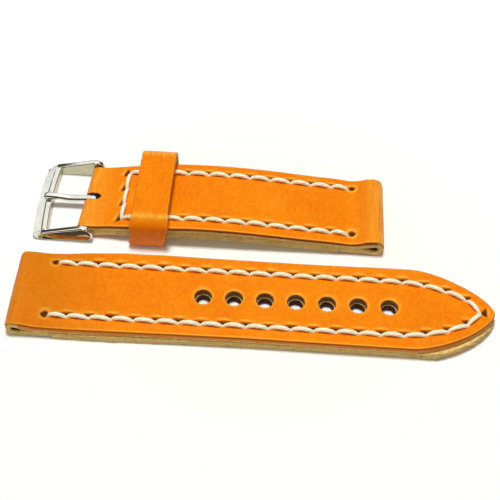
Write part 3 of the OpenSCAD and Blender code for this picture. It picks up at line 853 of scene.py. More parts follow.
def build_long_skin():
    fold = long_fold()
    half = LONG_W / 2
    tip = columns(fold.to_s(TIP_X + TIP_LEN * TIP_US), half * taper(TIP_US))
    point = np.vstack([tip, tip[-2::-1] * [1, -1]])[::-1]
    outer = resampled(np.vstack([[[0, half], [0, -half]], point]), 0.5)
    hole_at = fold.to_s(HOLE_XS)
    stitches = columns(fold.to_s(LONG_HOLES[:, 0]), LONG_HOLES[:, 1])
    under = LONG_HOLES[LONG_HOLES[:, 0] < LONG_TAIL_X + 5] * [-1, 1] + [LONG_TAIL_X, 0]

    def off_holes(p):
        return [np.hypot(p[:, 0] - x, p[:, 1]) - HOLE_R for x in hole_at]

    zones = [
        (0.24, near_path(stitches, 2.0)), (0.35, lambda p: np.min(off_holes(p), axis=0) < 1.6),
        (0.42, lambda p: np.abs(p[:, 0] - LONG_FOLD_S) < 7), (0.45, lambda p: np.abs(p[:, 1]) > half - 1.6),
        (0.9, everywhere),
    ]
    sheet = Sheet(outer, [round_hole(x, HOLE_R) for x in hole_at], SKIN_EDGE, zones)
    s, y = sheet.flat.T
    grooves = [(under[under[:, 1] * sign > 0], s < LUG_TAIL) for sign in (-1, 1)]
    rise, pit_shade, pucker_and_highlight, burn = pressed(sheet, stitches, LONG_PITS, s > LONG_FOLD_S + 3, grooves, 0)
    for off in off_holes(sheet.flat):
        rise -= 0.2 * bump(off, 0.6)
        pucker_and_highlight = np.maximum(pucker_and_highlight, 0.75 * bump(off - 0.4, 0.25))
        burn = np.maximum(burn, 0.7 * (off < 0.08))
    past = s - LONG_FOLD_S
    # Paler round the lug fold, partly a painted highlight on the bend
    bend_and_highlight, wrinkles = bent(sheet, 0.45 * bump(past - 2, 3.0), bump(past, 5.5), 0)
    burn = np.maximum(burn, 0.26 * (1 - smooth(8, 32, past)) * (sheet.depth < 0.1))
    x, z = fold.at(s, sheet.depth, rise + wrinkles)
    # The fold stands lower at the back
    z = np.maximum(z - 0.6 * np.maximum(z - STRAP_T, 0) * smooth(2, 11, y), 0.0)
    y = moved_edge(x, y, half, LONG_BACK_MOVES, LONG_FRONT_MOVES) * rounded_end(x, LEFT_X, 1, 1.3, half)
    slots = skin_slots(sheet, (LONG_FOLD_S + 5, math.inf), LONG_FOLD_S, 8)
    add_skin(
        "long_skin", sheet, (x, y, z), LONG_AT, BURNISHED, SHADED_HOLE_WALL, slots, (pit_shade, pucker_and_highlight, bend_and_highlight, burn), 0,
        "long_half", "long_top_leather",
    )


def lining_tip(sign):
    """Edge of the lining along the point: it stands a little proud of the skin beside it."""
    proud = LINING_PROUD if sign < 0 else 0.15
    flank = np.sin(TIP_US * math.pi).clip(0) ** 0.4
    wide = np.minimum(LONG_W / 2, LONG_W / 2 * taper(TIP_US) + proud * flank)
    return columns(TIP_X + TIP_LEN * TIP_US, sign * wide)


def build_long_lining():
    x0, end = LONG_TAIL_X + GLUE_GAP, LEFT_X + LONG_LEN
    plan = np.vstack([[[x0, -LONG_W / 2]], lining_tip(-1), lining_tip(1)[-2::-1], [[x0, LONG_W / 2]]])
    outer = resampled((plan * [-1, 1] + [end, 0])[::-1], 0.4)
    holes = [round_hole(end - x, LINING_HOLE_R) for x in HOLE_XS]
    sheet, z = lining_sheet(outer, holes, LONG_HOLES * [-1, 1] + [end, 0])
    x, y = end - sheet.flat[:, 0], sheet.flat[:, 1]
    flank = smooth(TIP_X - 4, TIP_X + 4, x) * (y < 0)
    shift = raw_shift(sheet, columns(x, y, z), 0.24 + 0.25 * flank, 21)
    y = moved_edge(x, y, LONG_W / 2, LONG_BACK_MOVES, LINING_FRONT_MOVES) + shift[:, 1]
    points = columns(x - shift[:, 0], y, z) + LONG_AT
    mesh = smooth_mesh("long_lining_layer", points, sheet.faces, [RAW, INNER_SHADE], sheet.in_hole)
    add_piece("long_lining_layer", mesh, "long_half", "raw_leather", "long_lining")


# The short half, x counted from the spring bar

SHORT_TAIL_X = SHORT_LUG_X - LUG_TAIL
SHORT_FOLD_S = BUCKLE_TAIL + math.pi * BUCKLE_LOOP_R / 2
FOLD_SKEW = 0.06
BUMP_H = 0.65
SLOT_ROOT, SLOT_LEN, SLOT_POWER = SLOT_END - 0.1, 1.1, 1.5
SHORT_BACK_MOVES = [(-3, 0.0), (8, -0.1), (20, -0.3), (50, -0.3), (66, -0.6), (78, -1.1)]
SHORT_FRONT_MOVES = [(-3, 0.0), (20, 0.0), (29, -0.1), (78, -0.1)]


def short_half_width(x):
    return (NECK_W + (SHORT_W - NECK_W) * smooth(NECK_LEN - 2, NECK_LEN + WIDEN_LEN + 2, x)) / 2


def short_top(x):
    """Height of the short half's upper side, with the swell over each spring bar."""
    x = np.asarray(x, float)
    over_buckle = 0.2 * (1 - smooth(0, 3, x))
    body = lift(np.minimum(x, ARCH_END)) + STRAP_T + over_buckle
    over_lug = (2 * LUG_R - STRAP_T - LUG_LIFT) * smooth(SHORT_LUG_X - SHOULDER, SHORT_LUG_X, x)
    dip = 0.35 * bump(x - SHORT_LUG_X + 7, 2.4)
    return body + over_lug - dip + BUMP_H * smooth(SHORT_LUG_X - 4.6, SHORT_LUG_X - 1.6, x)


def short_fold():
    """Side view of the short half's skin, from its tail at the buckle over the top to the other tail."""
    low = np.linspace(BUCKLE_TAIL, 0, 30)[:-1]
    top = np.linspace(0, SHORT_LUG_X, 300)[1:]
    end = np.linspace(SHORT_LUG_X, SHORT_TAIL_X, 40)[1:]
    low_in, top_in, end_in = (lift(xs) + LINING_T for xs in (low, top, np.minimum(end, ARCH_END)))
    low_in = low_in + (AXIS_Z - BUCKLE_BORE_R - low_in) * parted(low, BUCKLE_SLIT_LEN, BUCKLE_PARTING)
    top_in = top_in + (AXIS_Z + BUCKLE_BORE_R - top_in) * parted(top, BUCKLE_SLIT_LEN, BUCKLE_PARTING)
    at_lug = parted(SHORT_LUG_X - top, LUG_SLIT_LEN, LUG_PARTING)
    top_in = top_in + (LUG_BORE_Z + LUG_BORE_R - top_in) * at_lug
    end_in = end_in + (LUG_FOLD_T - end_in) * parted(SHORT_LUG_X - end, LUG_SLIT_LEN, LUG_PARTING)
    end_low = lift(np.minimum(end, ARCH_END)) * smooth(SHORT_LUG_X, SHORT_LUG_X - 3, end)
    turn = arc((SHORT_LUG_X, LUG_R), LUG_R, 90, -90, 60)
    turn[:, 1] += BUMP_H * smooth(LUG_R, 2 * LUG_R, turn[:, 1])
    grain = np.vstack([
        columns(low, lift(low)), arc((0, AXIS_Z), BUCKLE_LOOP_R, -90, -270, 50),
        columns(top, short_top(top))[:-1], turn, columns(end, end_low),
    ])
    flesh = np.vstack([
        columns(low, low_in), arc((0, AXIS_Z), BUCKLE_BORE_R, -90, -270, 50), columns(top, top_in)[:-1],
        arc((SHORT_LUG_X, LUG_BORE_Z), LUG_BORE_R, 90, -90, 60), columns(end, end_in),
    ])
    upper = (grain[:, 1] > AXIS_Z) & (grain[:, 0] >= 0) & (grain[:, 0] <= SHORT_LUG_X)
    return Fold(grain, flesh, upper)


def tongue_slot(fold):
    """Slot for the tongue through the fold round the spring bar, pointed on the upper side."""
    u = np.linspace(0, 1, 12)
    top = columns(fold.to_s(SLOT_ROOT + SLOT_LEN * u), SLOT_HALF * (1 - u**SLOT_POWER))
    back = np.vstack([top[::-1], arc((BUCKLE_TAIL - 3.0, 0), SLOT_HALF, 90, 180, 8)])
    return resampled(np.vstack([back, (back * [1, -1])[-2:0:-1]])[::-1], 0.3)


def build_short_skin():
    fold = short_fold()
    s_end = fold.s[-1]
    lug_s = s_end - LUG_TAIL - math.pi * LUG_R / 2
    along = np.linspace(0, s_end, 240)
    x_along = np.interp(along, fold.s, fold.grain[:, 0])
    outer = resampled(sides_of(along, short_half_width(x_along)), 0.5)
    stitches = columns(fold.to_s(SHORT_HOLES[:, 0]), SHORT_HOLES[:, 1])
    zones = [
        (0.24, near_path(stitches, 2.0)), (0.42, lambda p: np.abs(p[:, 0] - SHORT_FOLD_S) < 6),
        (0.42, lambda p: p[:, 0] > s_end - LUG_TAIL - 14),
        (0.45, lambda p: np.abs(p[:, 1]) > SHORT_W / 2 - 1.6), (0.9, everywhere),
    ]
    sheet = Sheet(outer, [tongue_slot(fold)], SKIN_EDGE, zones)
    s, y = sheet.flat.T
    under = SHORT_HOLES[SHORT_HOLES[:, 0] > SHORT_TAIL_X - 6] * [-1, 1] + [s_end + SHORT_TAIL_X, 0]
    grooves = [(under[under[:, 1] * sign > 0], s > lug_s + 4) for sign in (-1, 1)]
    across = np.array([[BUCKLE_TAIL - CROSS_X, sign * SHORT_HOLES[0, 1]] for sign in (1, -1)])
    rise, pit_shade, pucker_and_highlight, burn = pressed(sheet, stitches, SHORT_PITS, 1, grooves + [(across, s < 2)], 30)
    # Paler round both folds, partly a painted highlight on the bends
    bend_and_highlight = np.maximum(0.8 * bump(s - SHORT_FOLD_S - 2, 5.0), 0.85 * bump(s - lug_s + 2, 5.0))
    bend_and_highlight, wrinkles = bent(sheet, bend_and_highlight, bump(s - SHORT_FOLD_S, 4.5) + bump(s - lug_s, 5.5), 30)
    x, z = fold.at(s, sheet.depth, rise + wrinkles)
    x = x + FOLD_SKEW * y * (1 - sheet.depth) * (1 - smooth(0, 6, np.abs(s - SHORT_FOLD_S)))
    y = moved_edge(x, y, SHORT_W / 2, SHORT_BACK_MOVES, SHORT_FRONT_MOVES)
    y = y * rounded_end(x, SHORT_LUG_X + LUG_R, -1, 1.0, SHORT_W / 2)
    y = y * rounded_end(x, -BUCKLE_LOOP_R, 1, 0.9, NECK_W / 2)
    slots = skin_slots(sheet, (SHORT_FOLD_S, lug_s - 4), lug_s, 6)
    add_skin(
        "short_skin", sheet, (x, y, np.maximum(z, 0.0)), SHORT_AT, BURNISHED_DARK, INNER_SHADE, slots,
        (pit_shade, pucker_and_highlight, bend_and_highlight, burn), 30, "short_half", "short_top_leather",
    )


def build_short_lining():
    x0, x1 = BUCKLE_TAIL + GLUE_GAP, SHORT_TAIL_X - GLUE_GAP
    along = np.linspace(0, x1 - x0, 120)
    outer = resampled(sides_of(along, short_half_width(x1 - along)), 0.4)
    sheet, z = lining_sheet(outer, [], SHORT_HOLES * [-1, 1] + [x1, 0])
    x, y = x1 - sheet.flat[:, 0], sheet.flat[:, 1]
    y = moved_edge(x, y, SHORT_W / 2, SHORT_BACK_MOVES, SHORT_FRONT_MOVES)
    y = y + raw_shift(sheet, columns(x, y, z), 0.34, 41)[:, 1]
    mesh = smooth_mesh("short_lining_layer", columns(x, y, lift(x) + z) + SHORT_AT, sheet.faces, [RAW])
    add_piece("short_lining_layer", mesh, "short_half", "raw_leather", "short_lining")


# Stitching

PLIES = 3
PLY_DEPTH = 0.045
TWIST = 1.3
SLANT = 0.2
STITCH_H = 0.7
STITCH_WAIST = 0.44
END_GAP = 0.85
THREAD_CLEAR = 0.03


def tube(path, radius, sides, twist, phase, waist=0.0):
    """Points, faces and ply shading of a round thread along a path, laid up from twisted plies."""
    n = len(path)
    tangent = unit(np.gradient(path, axis=0))
    side = np.cross(tangent, [0.0, 0.0, 1.0])
    flat = path[-1] - path[0]
    side[np.linalg.norm(side, axis=1) < 0.05] = [flat[1], -flat[0], 0.0]
    side = unit(side)
    up = np.cross(side, tangent)
    angles = np.linspace(0, 2 * math.pi, sides, endpoint=False)
    wave = np.cos(PLIES * (angles[None, :] - twist * run_of(path)[:, None] - phase))
    girth = radius * (1 - waist * (1 - np.sin(np.linspace(0, math.pi, n)) ** 0.7))
    r = girth[:, None] * (1 + PLY_DEPTH * wave)
    ring = np.cos(angles)[None, :, None] * side[:, None, :] + np.sin(angles)[None, :, None] * up[:, None, :]
    points = path[:, None, :] + r[:, :, None] * ring
    shade = np.clip(-wave, 0, 1) ** 1.5
    faces = []
    for i in range(n - 1):
        for j in range(sides):
            k = (j + 1) % sides
            faces.append((i * sides + j, (i + 1) * sides + j, (i + 1) * sides + k, i * sides + k))
    faces.append(tuple(range(sides)))
    faces.append(tuple((n - 1) * sides + j for j in range(sides - 1, -1, -1)))
    return points.reshape(-1, 3), faces, shade.ravel()


def add_thread(name, tubes, at, body, node):
    """One piece of thread from tubes, each with its points, faces and shading."""
    faces, count = [], 0
    for points, tube_faces, _ in tubes:
        faces += [tuple(k + count for k in face) for face in tube_faces]
        count += len(points)
    points, _, shades = zip(*tubes)
    mesh = smooth_mesh(name, np.vstack(points) + at, faces, [THREAD], None, [np.concatenate(shades)])
    add_piece(name, mesh, body, "thread", node)


def stitch_path(a, b, pull, ends, middle, surface, rings, seed):
    """One stitch from hole a to hole b: it comes out of one hole, arches over and goes down the next."""
    d = b - a
    across = np.array([-d[1], d[0]]) / np.linalg.norm(d) * SLANT
    turn = np.linspace(0, math.pi, rings)
    f = (1 - np.cos(turn)) / 2
    arch = np.sin(turn) ** 0.75
    lean = 0.08 * lattice(seed, 5, 2, 11)
    plan = a + f[:, None] * d + (1 - 2 * f)[:, None] * across + (arch * lean)[:, None] * across
    plan = plan + (1 - f)[:, None] * pull[0] + f[:, None] * pull[1]
    height = ends + (middle * (1 + 0.12 * lattice(seed, 2, 7, 12)) - ends) * arch
    return columns(plan, surface(plan[:, 0]) + height)


def build_stitching(name, holes, pull, top, bottom, at, body, node):
    tubes = []
    for i, (a, b) in enumerate(zip(holes[:-1], holes[1:])):
        d = unit(b - a)
        first = a + END_GAP * d * (i == 0)
        last = b - END_GAP * d * (i == len(holes) - 2)
        upper = stitch_path(first, last, pull[i:i + 2], -1.5, STITCH_H, top, 40, i)
        lower = stitch_path(a, b, 0 * pull[i:i + 2], 1.6, THREAD_R + THREAD_CLEAR, bottom, 24, i + 500)
        tubes.append(tube(upper, THREAD_R, 18, TWIST, 0.7 * i, STITCH_WAIST))
        tubes.append(tube(lower, THREAD_R, 12, TWIST, 0.7 * i))
    add_thread(name, tubes, at, body, node)


# The keeper

KEEPER_STITCH_HALF = 1.6
KEEPER_THREAD_R = 0.3
KEEPER_STITCHES = 3
KEEPER_TWIST = 3.2
KEEPER_BULGE = 0.35
KEEPER_EDGE = [
    (0.34, 0.0), (0.2, 0.03), (0.09, 0.1), (0.02, 0.2), (0.0, 0.34), (0.0, 0.5),
    (0.02, 0.66), (0.04, 0.8), (0.08, 0.93), (0.16, 1.0), (0.34, 1.0),
]
KEEPER_STITCH_STEPS = KEEPER_W * np.arange(1, KEEPER_STITCHES + 1) / (KEEPER_STITCHES + 1)
# How far the keeper's front leans towards the buckle, by height
KEEPER_LEAN = [(0, -1.15), (1.5, -1.1), (7.5, -0.2), (KEEPER_OUT_H, 0.0)]


def keeper_path(inset):
    """The keeper's section from its seam, out to the front, over the top and back to the seam."""
    half, low, top = KEEPER_OUT_W / 2, KEEPER_LOW_R, KEEPER_TOP_R
    path = np.vstack([
        columns(np.linspace(0, -(half - low), 24)[:-1], np.full(23, inset)),
        arc((-(half - low), low), low - inset, -90, -180, 12)[:-1],
        columns(np.full(12, inset - half), np.linspace(low, KEEPER_OUT_H - top, 13)[:-1]),
        arc((-(half - top), KEEPER_OUT_H - top), top - inset, 180, 90, 20)[:-1],
        columns(np.linspace(-(half - top), 0, 24), np.full(24, KEEPER_OUT_H - inset)),
    ])
    height = np.clip(path[:, 1] / KEEPER_OUT_H, 0, 1)
    path[:, 0] -= KEEPER_BULGE * np.sin(height * math.pi) * (path[:, 0] < -4)
    return np.vstack([path, path[-2::-1] * [-1, 1]])


def build_keeper():
    fold = Fold(keeper_path(0.0), keeper_path(KEEPER_T))
    s_end = fold.s[-1]
    half_w = KEEPER_W / 2
    outer = resampled(np.array([[0, -half_w], [s_end, -half_w], [s_end, half_w], [0, half_w]]), 0.3)
    sheet = Sheet(outer, [], KEEPER_EDGE, [(0.5, everywhere)])
    s, w = sheet.flat.T
    rise = 0.06 * wobble2(s, w, 5.0, 51) + 0.02 * wobble2(s, w, 1.6, 52)
    for line in half_w - KEEPER_STITCH_STEPS:
        for start in (0, s_end - KEEPER_STITCH_HALF):
            stitch = np.array([[start, line], [start + KEEPER_STITCH_HALF, line]])
            rise += groove(sheet.flat, stitch, 0.6, 0.7)
    y, z = fold.at(s, sheet.depth, rise)
    z = np.maximum(z, 0.0)
    teeth = 0.1 * wobble(columns(s, w, 4 * sheet.depth), 0.45, 55)
    rim = (sheet.depth > 0.15) & (sheet.depth < 0.97)
    x = KEEPER_X + half_w - w - rim * sheet.outward[:, 1] * teeth
    leans = np.interp(z, *zip(*KEEPER_LEAN))
    sides = 0.4 * bump(z - KEEPER_OUT_H + 2, 2.5) * np.sign(x - KEEPER_X - half_w)
    x = x + smooth(-8, -13, y) * (leans + sides * np.abs(w) / half_w) + 0.15 * smooth(0, 10, y)
    # Painted highlight: a bright line along the keeper's top bend
    turn = np.abs(np.abs(y) - (KEEPER_OUT_W / 2 - 2.1))
    bend_and_highlight = 1.4 * bump(turn, 0.8) * smooth(KEEPER_OUT_H - 4.2, KEEPER_OUT_H - 1.5, z)
    edge_highlight, burn = rim_marks(sheet)
    slots = np.select([sheet.level <= 3, sheet.level <= 5], [GRAIN_FACE, BURNT_FACE], RAW_FACE)
    materials = [GRAIN, BURNISHED, RAW]
    wear_and_painted_light = (0 * s, edge_highlight, bend_and_highlight, 0.5 * burn)
    mesh = smooth_mesh("keeper_band", columns(x, y, z) + SHORT_AT, sheet.faces, materials, slots, wear_and_painted_light)
    add_piece("keeper_band", mesh, "keeper", "grain_leather", "keeper_loop")


def build_keeper_thread():
    turn = np.linspace(0, math.pi, 24)
    y = -KEEPER_STITCH_HALF * np.cos(turn)
    z = KEEPER_THREAD_R + THREAD_CLEAR + 0.85 * (1 - np.sin(turn) ** 0.5)
    paths = [columns(KEEPER_X + step + 0 * y, y, z) for step in KEEPER_STITCH_STEPS]
    tubes = [tube(path, KEEPER_THREAD_R, 12, KEEPER_TWIST, i) for i, path in enumerate(paths)]
    add_thread("keeper_thread", tubes, SHORT_AT, "keeper", "keeper_stitch")


# Buckle and tongue: bare shapes whose edges are then rounded and whose faces are polished

MIRROR_LEAN = 32.5
BAR_BACK, BAR_EDGE, BAR_H, BAR_TOE, BOW_R = BUCKLE_REACH - 4.4, BUCKLE_REACH - 3.1, 2.8, 0.5, 110.2
BAR_RIM, RIM_TILT, SLOPE_TILT, EASED_TILT = 0.36, 34.0, 53.0, 26.0
BAR_RIM_Z = BAR_H - BAR_RIM * math.tan(math.radians(RIM_TILT))
BAR_STATIONS, BAR_OVERLAP, BAR_SUNK = 25, 0.4, 0.02
BAR_PROFILE = [
    (BAR_BACK, 0), (BAR_BACK, BAR_H), (BAR_EDGE, BAR_H), (BAR_EDGE + BAR_RIM, BAR_RIM_Z),
    (BUCKLE_REACH, BAR_TOE), (BUCKLE_REACH - 1.1, 0),
]
ARM_T, ARM_GAP, HEAD_R, HEAD_X, CORNER_R = 1.5, 0.3, 2.6, 0.9, 2.5
ARM_IN = NECK_W / 2 + ARM_GAP
SLOPE_POINTS, SLOPE_SUNK = 7, 0.3
TONGUE_HALF = 0.95
BEVEL_STEPS = 5


def bow_place(points):
    """Distance of points from the spring bar's line, taken across the bowed bar, and the way out."""
    out = columns(points[:, 0] - AXIS_X + BUCKLE_REACH - BOW_R, points[:, 1] - SHORT_Y)
    reach = np.linalg.norm(out, axis=1)
    return reach - BOW_R + BUCKLE_REACH, out / reach[:, None]


def arm_outline():
    """Side view of an arm, counterclockwise from the front of its toe; the slope's points come last."""
    shift = (ARM_IN + ARM_T / 2) ** 2 / (2 * BOW_R)
    xs = np.linspace(-BAR_EDGE - BAR_RIM, -BUCKLE_REACH, SLOPE_POINTS) + shift
    slope = columns(xs, np.linspace(BAR_RIM_Z, BAR_TOE, SLOPE_POINTS))
    toe = xs[1] - 0.4
    under = columns(xs[:-1], BAR_TOE * np.clip((toe - xs[:-1]) / (toe - xs[-1]), 0, 1))
    corner = np.array([-BAR_EDGE + shift, BAR_H])
    to_head = np.array([-HEAD_X, HEAD_R]) - corner
    along = math.sqrt(to_head @ to_head - HEAD_R**2)
    angle = math.atan2(to_head[1], to_head[0]) + math.asin(HEAD_R / np.linalg.norm(to_head))
    touch = corner + along * np.array([math.cos(angle), math.sin(angle)]) - [-HEAD_X, HEAD_R]
    end = math.degrees(math.atan2(touch[1], touch[0]))
    head = arc((-HEAD_X, HEAD_R), HEAD_R, -90, end, 40)
    return np.vstack([slope[-1:], under[::-1], head, [corner], slope[:-1]])


def buckle_mesh():
    """Two arms and a bowed front bar that runs into them."""
    work = bmesh.new()

    def rows_of(rows):
        return [[work.verts.new(Vector(p) * MM) for p in row] for row in rows]

    def skinned(before, after):
        for i in range(len(before)):
            j = (i + 1) % len(before)
            work.faces.new((before[i], before[j], after[j], after[i]))

    outline = arm_outline()
    n = len(outline)
    last = SLOPE_POINTS - 2
    d = np.clip(CORNER_R - BUCKLE_REACH - outline[:, 0], 0, CORNER_R)
    pull = CORNER_R - np.sqrt(CORNER_R**2 - d * d)
    on_slope = np.arange(n) > n - SLOPE_POINTS - 1
    for side in (-1, 1):
        rows = []
        for y, sunk in ((ARM_IN, SLOPE_SUNK), (ARM_IN + ARM_T, 0.0)):
            z = outline[:, 1] - sunk * on_slope
            rows.append(columns(AXIS_X + outline[:, 0], SHORT_Y + side * (y - pull), z))
        rows = rows_of(rows)
        skinned(*rows)
        for row in rows:
            work.faces.new(row[last + 1:n - last])
            work.faces.new((row[0], row[1], row[n - 1]))
            for i in range(last):
                work.faces.new((row[1 + i], row[2 + i], row[n - 2 - i], row[n - 1 - i]))
    stations = []
    for y in np.linspace(-ARM_IN - BAR_OVERLAP, ARM_IN + BAR_OVERLAP, BAR_STATIONS):
        bow = y * y / (2 * BOW_R)
        stations.append([(AXIS_X - u + bow, SHORT_Y + y, max(0, z - BAR_SUNK)) for u, z in BAR_PROFILE])
    stations = rows_of(stations)
    for before, after in zip(stations[:-1], stations[1:]):
        skinned(before, after)
    work.faces.new(stations[0])
    work.faces.new(stations[-1])
    bmesh.ops.recalc_face_normals(work, faces=work.faces)
    mesh = bpy.data.meshes.new("buckle_body")
    work.to_mesh(mesh)
    work.free()
    return mesh


def cad_copy(node):
    """Copy of a CAD mesh with its flat faces whole."""
    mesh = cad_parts[node].data.copy()
    work = bmesh.new()
    work.from_mesh(mesh)
    bmesh.ops.remove_doubles(work, verts=work.verts, dist=2e-6)
    bmesh.ops.dissolve_limit(work, angle_limit=math.radians(0.6), verts=work.verts, edges=work.edges)
    work.to_mesh(mesh)
    work.free()
    return mesh


def tilted(out, degrees):
    a = math.radians(degrees)
    return columns(out * math.sin(a), np.full(len(out), math.cos(a)))


def points_of(mesh):
    return np.array([tuple(v.co) for v in mesh.vertices]) / MM


def polish_frame(mesh, normals):
    """Flat, crisp mirrors on the bar's facets and the arms' outer sides; returns the inner faces, which take
    the darker steel of painted shade.
    """
    points = points_of(mesh)
    shaded_satin_faces = []
    lean = math.radians(MIRROR_LEAN)
    for q in mesh.polygons:
        loops = list(q.loop_indices)
        n = q.normal
        corner = points[list(q.vertices)]
        x, off = (corner.mean(0) - SHORT_AT)[:2]
        u, out = bow_place(corner)
        on_facet = x < -BAR_BACK and u.min() > BAR_EDGE - 0.1 and n.z > 0.3
        if abs(n.y) > 0.995 and abs(off) > NECK_W / 2 + 1:
            normals[loops] = [0, math.copysign(math.cos(lean), off), math.sin(lean)]
        elif abs(n.y) > 0.995 or (n.x > 0.9 and -BAR_BACK - 0.6 < x < -8):
            shaded_satin_faces.append(q.index)
        elif on_facet and u.max() < BAR_EDGE + BAR_RIM + 0.1:
            normals[loops] = tilted(out, RIM_TILT)
        elif on_facet and u.min() > BAR_EDGE + 0.1:
            normals[loops] = tilted(out, SLOPE_TILT)
        elif n.z > 0.999:
            normals[loops] = [0, 0, 1]
    tilt = np.degrees(np.arccos(np.clip(normals[:, 2], -1, 1)))
    far = (normals[:, 1] > 0.15) & (tilt < 88) & (np.abs(normals[:, 0]) < 0.4 * np.abs(normals[:, 1]))
    eased = np.radians(EASED_TILT * np.minimum(1, tilt / 52) ** 0.75)
    normals[far] = columns(0 * eased, np.sin(eased), np.cos(eased))[far]
    return shaded_satin_faces


def polish_tongue(mesh, normals):
    """The tongue's top shines like round wire; it has no satin faces."""
    points = points_of(mesh)
    for q in mesh.polygons:
        if q.normal.z < 0.05:
            continue
        for loop, vertex in zip(q.loop_indices, q.vertices):
            across = np.clip((points[vertex, 1] - SHORT_Y) / TONGUE_HALF, -1, 1)
            tilt = math.asin(0.95 * -across) if across < 0 else math.radians(EASED_TILT) * across**4
            n = unit(np.array([normals[loop][0], 0, max(0.2, abs(normals[loop][2]))]))
            normals[loop] = n * math.cos(tilt) + [0, math.copysign(math.sin(tilt), across), 0]
    return []


def add_metal(name, node, mesh, width, angle, body, polish):
    """Metal piece with its sharp edges rounded off and its sides polished."""
    mesh.polygons.foreach_set("use_smooth", np.ones(len(mesh.polygons), bool))
    rough = linked(name + "_rough", mesh)
    rounding = rough.modifiers.new("rounding", "BEVEL")
    rounding.limit_method = "ANGLE"
    rounding.angle_limit = math.radians(angle)
    rounding.width = width * MM
    rounding.segments = BEVEL_STEPS
    rounding.use_clamp_overlap = False
    rounding.harden_normals = True
    bpy.context.view_layer.update()
    graph = bpy.context.evaluated_depsgraph_get()
    shaped = rough.evaluated_get(graph)
    normals = np.array([tuple(c.vector) for c in shaped.data.corner_normals])
    final = bpy.data.meshes.new_from_object(shaped, preserve_all_data_layers=True, depsgraph=graph)
    shaded_satin_faces = polish(final, normals)
    final.normals_split_custom_set(normals.tolist())
    final.materials.clear()
    for m in (POLISHED, SATIN_SHADED):
        final.materials.append(m)
    slots = np.zeros(len(final.polygons), np.int32)
    slots[shaded_satin_faces] = 1
    final.polygons.foreach_set("material_index", slots)
    bpy.data.objects.remove(rough)
    add_piece(name, final, body, "polished_steel", node)


def dress_spring_bar():
    for name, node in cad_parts.items():
        if name.startswith("spring_bar"):
            node.data.materials.clear()
            node.data.materials.append(DRAWN)


# Loose fibres along the raw edges

def add_fibres(name, roots, body):
    """Thin curled strands off a raw edge, each a three-sided spike from a (root, direction, length)."""
    verts, faces = [], []
    for base, out, length in roots:
        out = unit(out)
        side = unit(np.cross(out, rng.normal(size=3)))
        curl = side * length * rng.uniform(-0.7, 0.7)
        width = rng.uniform(0.02, 0.05)
        start = len(verts)
        third = np.cross(out, side)
        for k, t in enumerate((0.0, 0.45, 0.8)):
            centre = base + out * length * t + curl * t * t
            for j in range(3):
                a = 2 * math.pi * j / 3
                verts.append(centre + width * (1 - 0.55 * k / 2) * (math.cos(a) * side + math.sin(a) * third))
        verts.append(base + out * length + curl)
        for row in (start, start + 3):
            faces += [(row + j, row + (j + 1) % 3, row + (j + 1) % 3 + 3, row + j + 3) for j in range(3)]
        faces += [(start + 6 + j, start + 6 + (j + 1) % 3, start + 9) for j in range(3)]
    verts = np.array(verts)
    verts[:, 2] = np.maximum(verts[:, 2], 0.01)
    add_piece(name, smooth_mesh(name, verts, faces, [FIBRE]), body, "raw_leather")


def build_long_fibres():
    roots = []
    for sign, step in ((-1, 0.1), (1, 0.2)):
        line = np.vstack([[LONG_TAIL_X + 1, sign * LONG_W / 2], lining_tip(sign)])
        run = run_of(line)
        for s in np.arange(0, run[-1], step):
            (x, y), (x2, y2) = on_path([s, s + 0.2], run, line)
            flank = float(smooth(TIP_X - 3, TIP_X + 5, x)) * (sign < 0)
            d = unit(np.array([x2 - x, y2 - y]) + 1e-9)
            for _ in range(1 + int(4 * flank)):
                z = rng.uniform(0.1, 1.9)
                out = np.array([-d[1], d[0], 0]) * sign + rng.normal(size=3) * [0.5, 0.5, 0.35]
                root = np.array([x - 0.15 * out[0], y - 0.15 * out[1] + LONG_Y, z])
                roots.append((root, out, rng.uniform(0.2, 0.5) * (1 + 0.9 * flank)))
    add_fibres("long_fibres", roots, "long_half")


def build_short_fibres():
    roots = []
    for sign, step in ((-1, 0.04), (1, 0.16)):
        for x in np.arange(BUCKLE_TAIL + 0.3, SHORT_TAIL_X - 0.3, step):
            out = np.array([0.0, sign, 0.0]) + rng.normal(size=3) * [0.6, 0.3, 0.4]
            z = float(lift(x)) + rng.uniform(0.1, 1.9)
            root = np.array([x, sign * (short_half_width(x) - 0.1), z]) + SHORT_AT
            roots.append((root, out, rng.uniform(0.2, 0.55)))
    add_fibres("short_fibres", roots, "short_half")


# Floor, lights and camera: where the photograph was taken from, in millimetres and degrees

IMAGE_W = 500
FOCAL_PX = 1000.5
SENSOR = 36.0
LOOK_AT = Vector((-1.69, 2.68, 0.0))
DISTANCE = 262.5
YAW, PITCH, ROLL = 2.377, 52.087, 1.369


def add_camera():
    yaw, pitch, roll = (math.radians(a) for a in (YAW, PITCH, ROLL))
    forward = Vector((-math.sin(yaw) * math.cos(pitch), math.cos(yaw) * math.cos(pitch), -math.sin(pitch)))
    right = Vector((math.cos(yaw), math.sin(yaw), 0.0))
    up = right.cross(forward)
    side = math.cos(roll) * right + math.sin(roll) * up
    top = -math.sin(roll) * right + math.cos(roll) * up
    data = bpy.data.cameras.new("photo_view")
    data.sensor_width = SENSOR
    data.lens = FOCAL_PX / IMAGE_W * SENSOR
    data.clip_start = 0.01
    data.clip_end = 10
    camera = linked("photo_view", data)
    turn = Matrix((side, top, -forward)).transposed().to_4x4()
    camera.matrix_world = Matrix.Translation((LOOK_AT - DISTANCE * forward) * MM) @ turn
    bpy.context.scene.camera = camera


FLOOR_WHITE = (0.97, 0.97, 0.96, 1)
GLOW_BLUE = (0.75, 0.85, 1, 1)
# Distances in metres over which the floor's glow rises, and how much each adds
GLOW_BASE, GLOW_AROUND, GLOW_BEYOND_LAMP = 0.025, (0.03, 0.075, 0.06), (0.08, 0.9, 0.8)


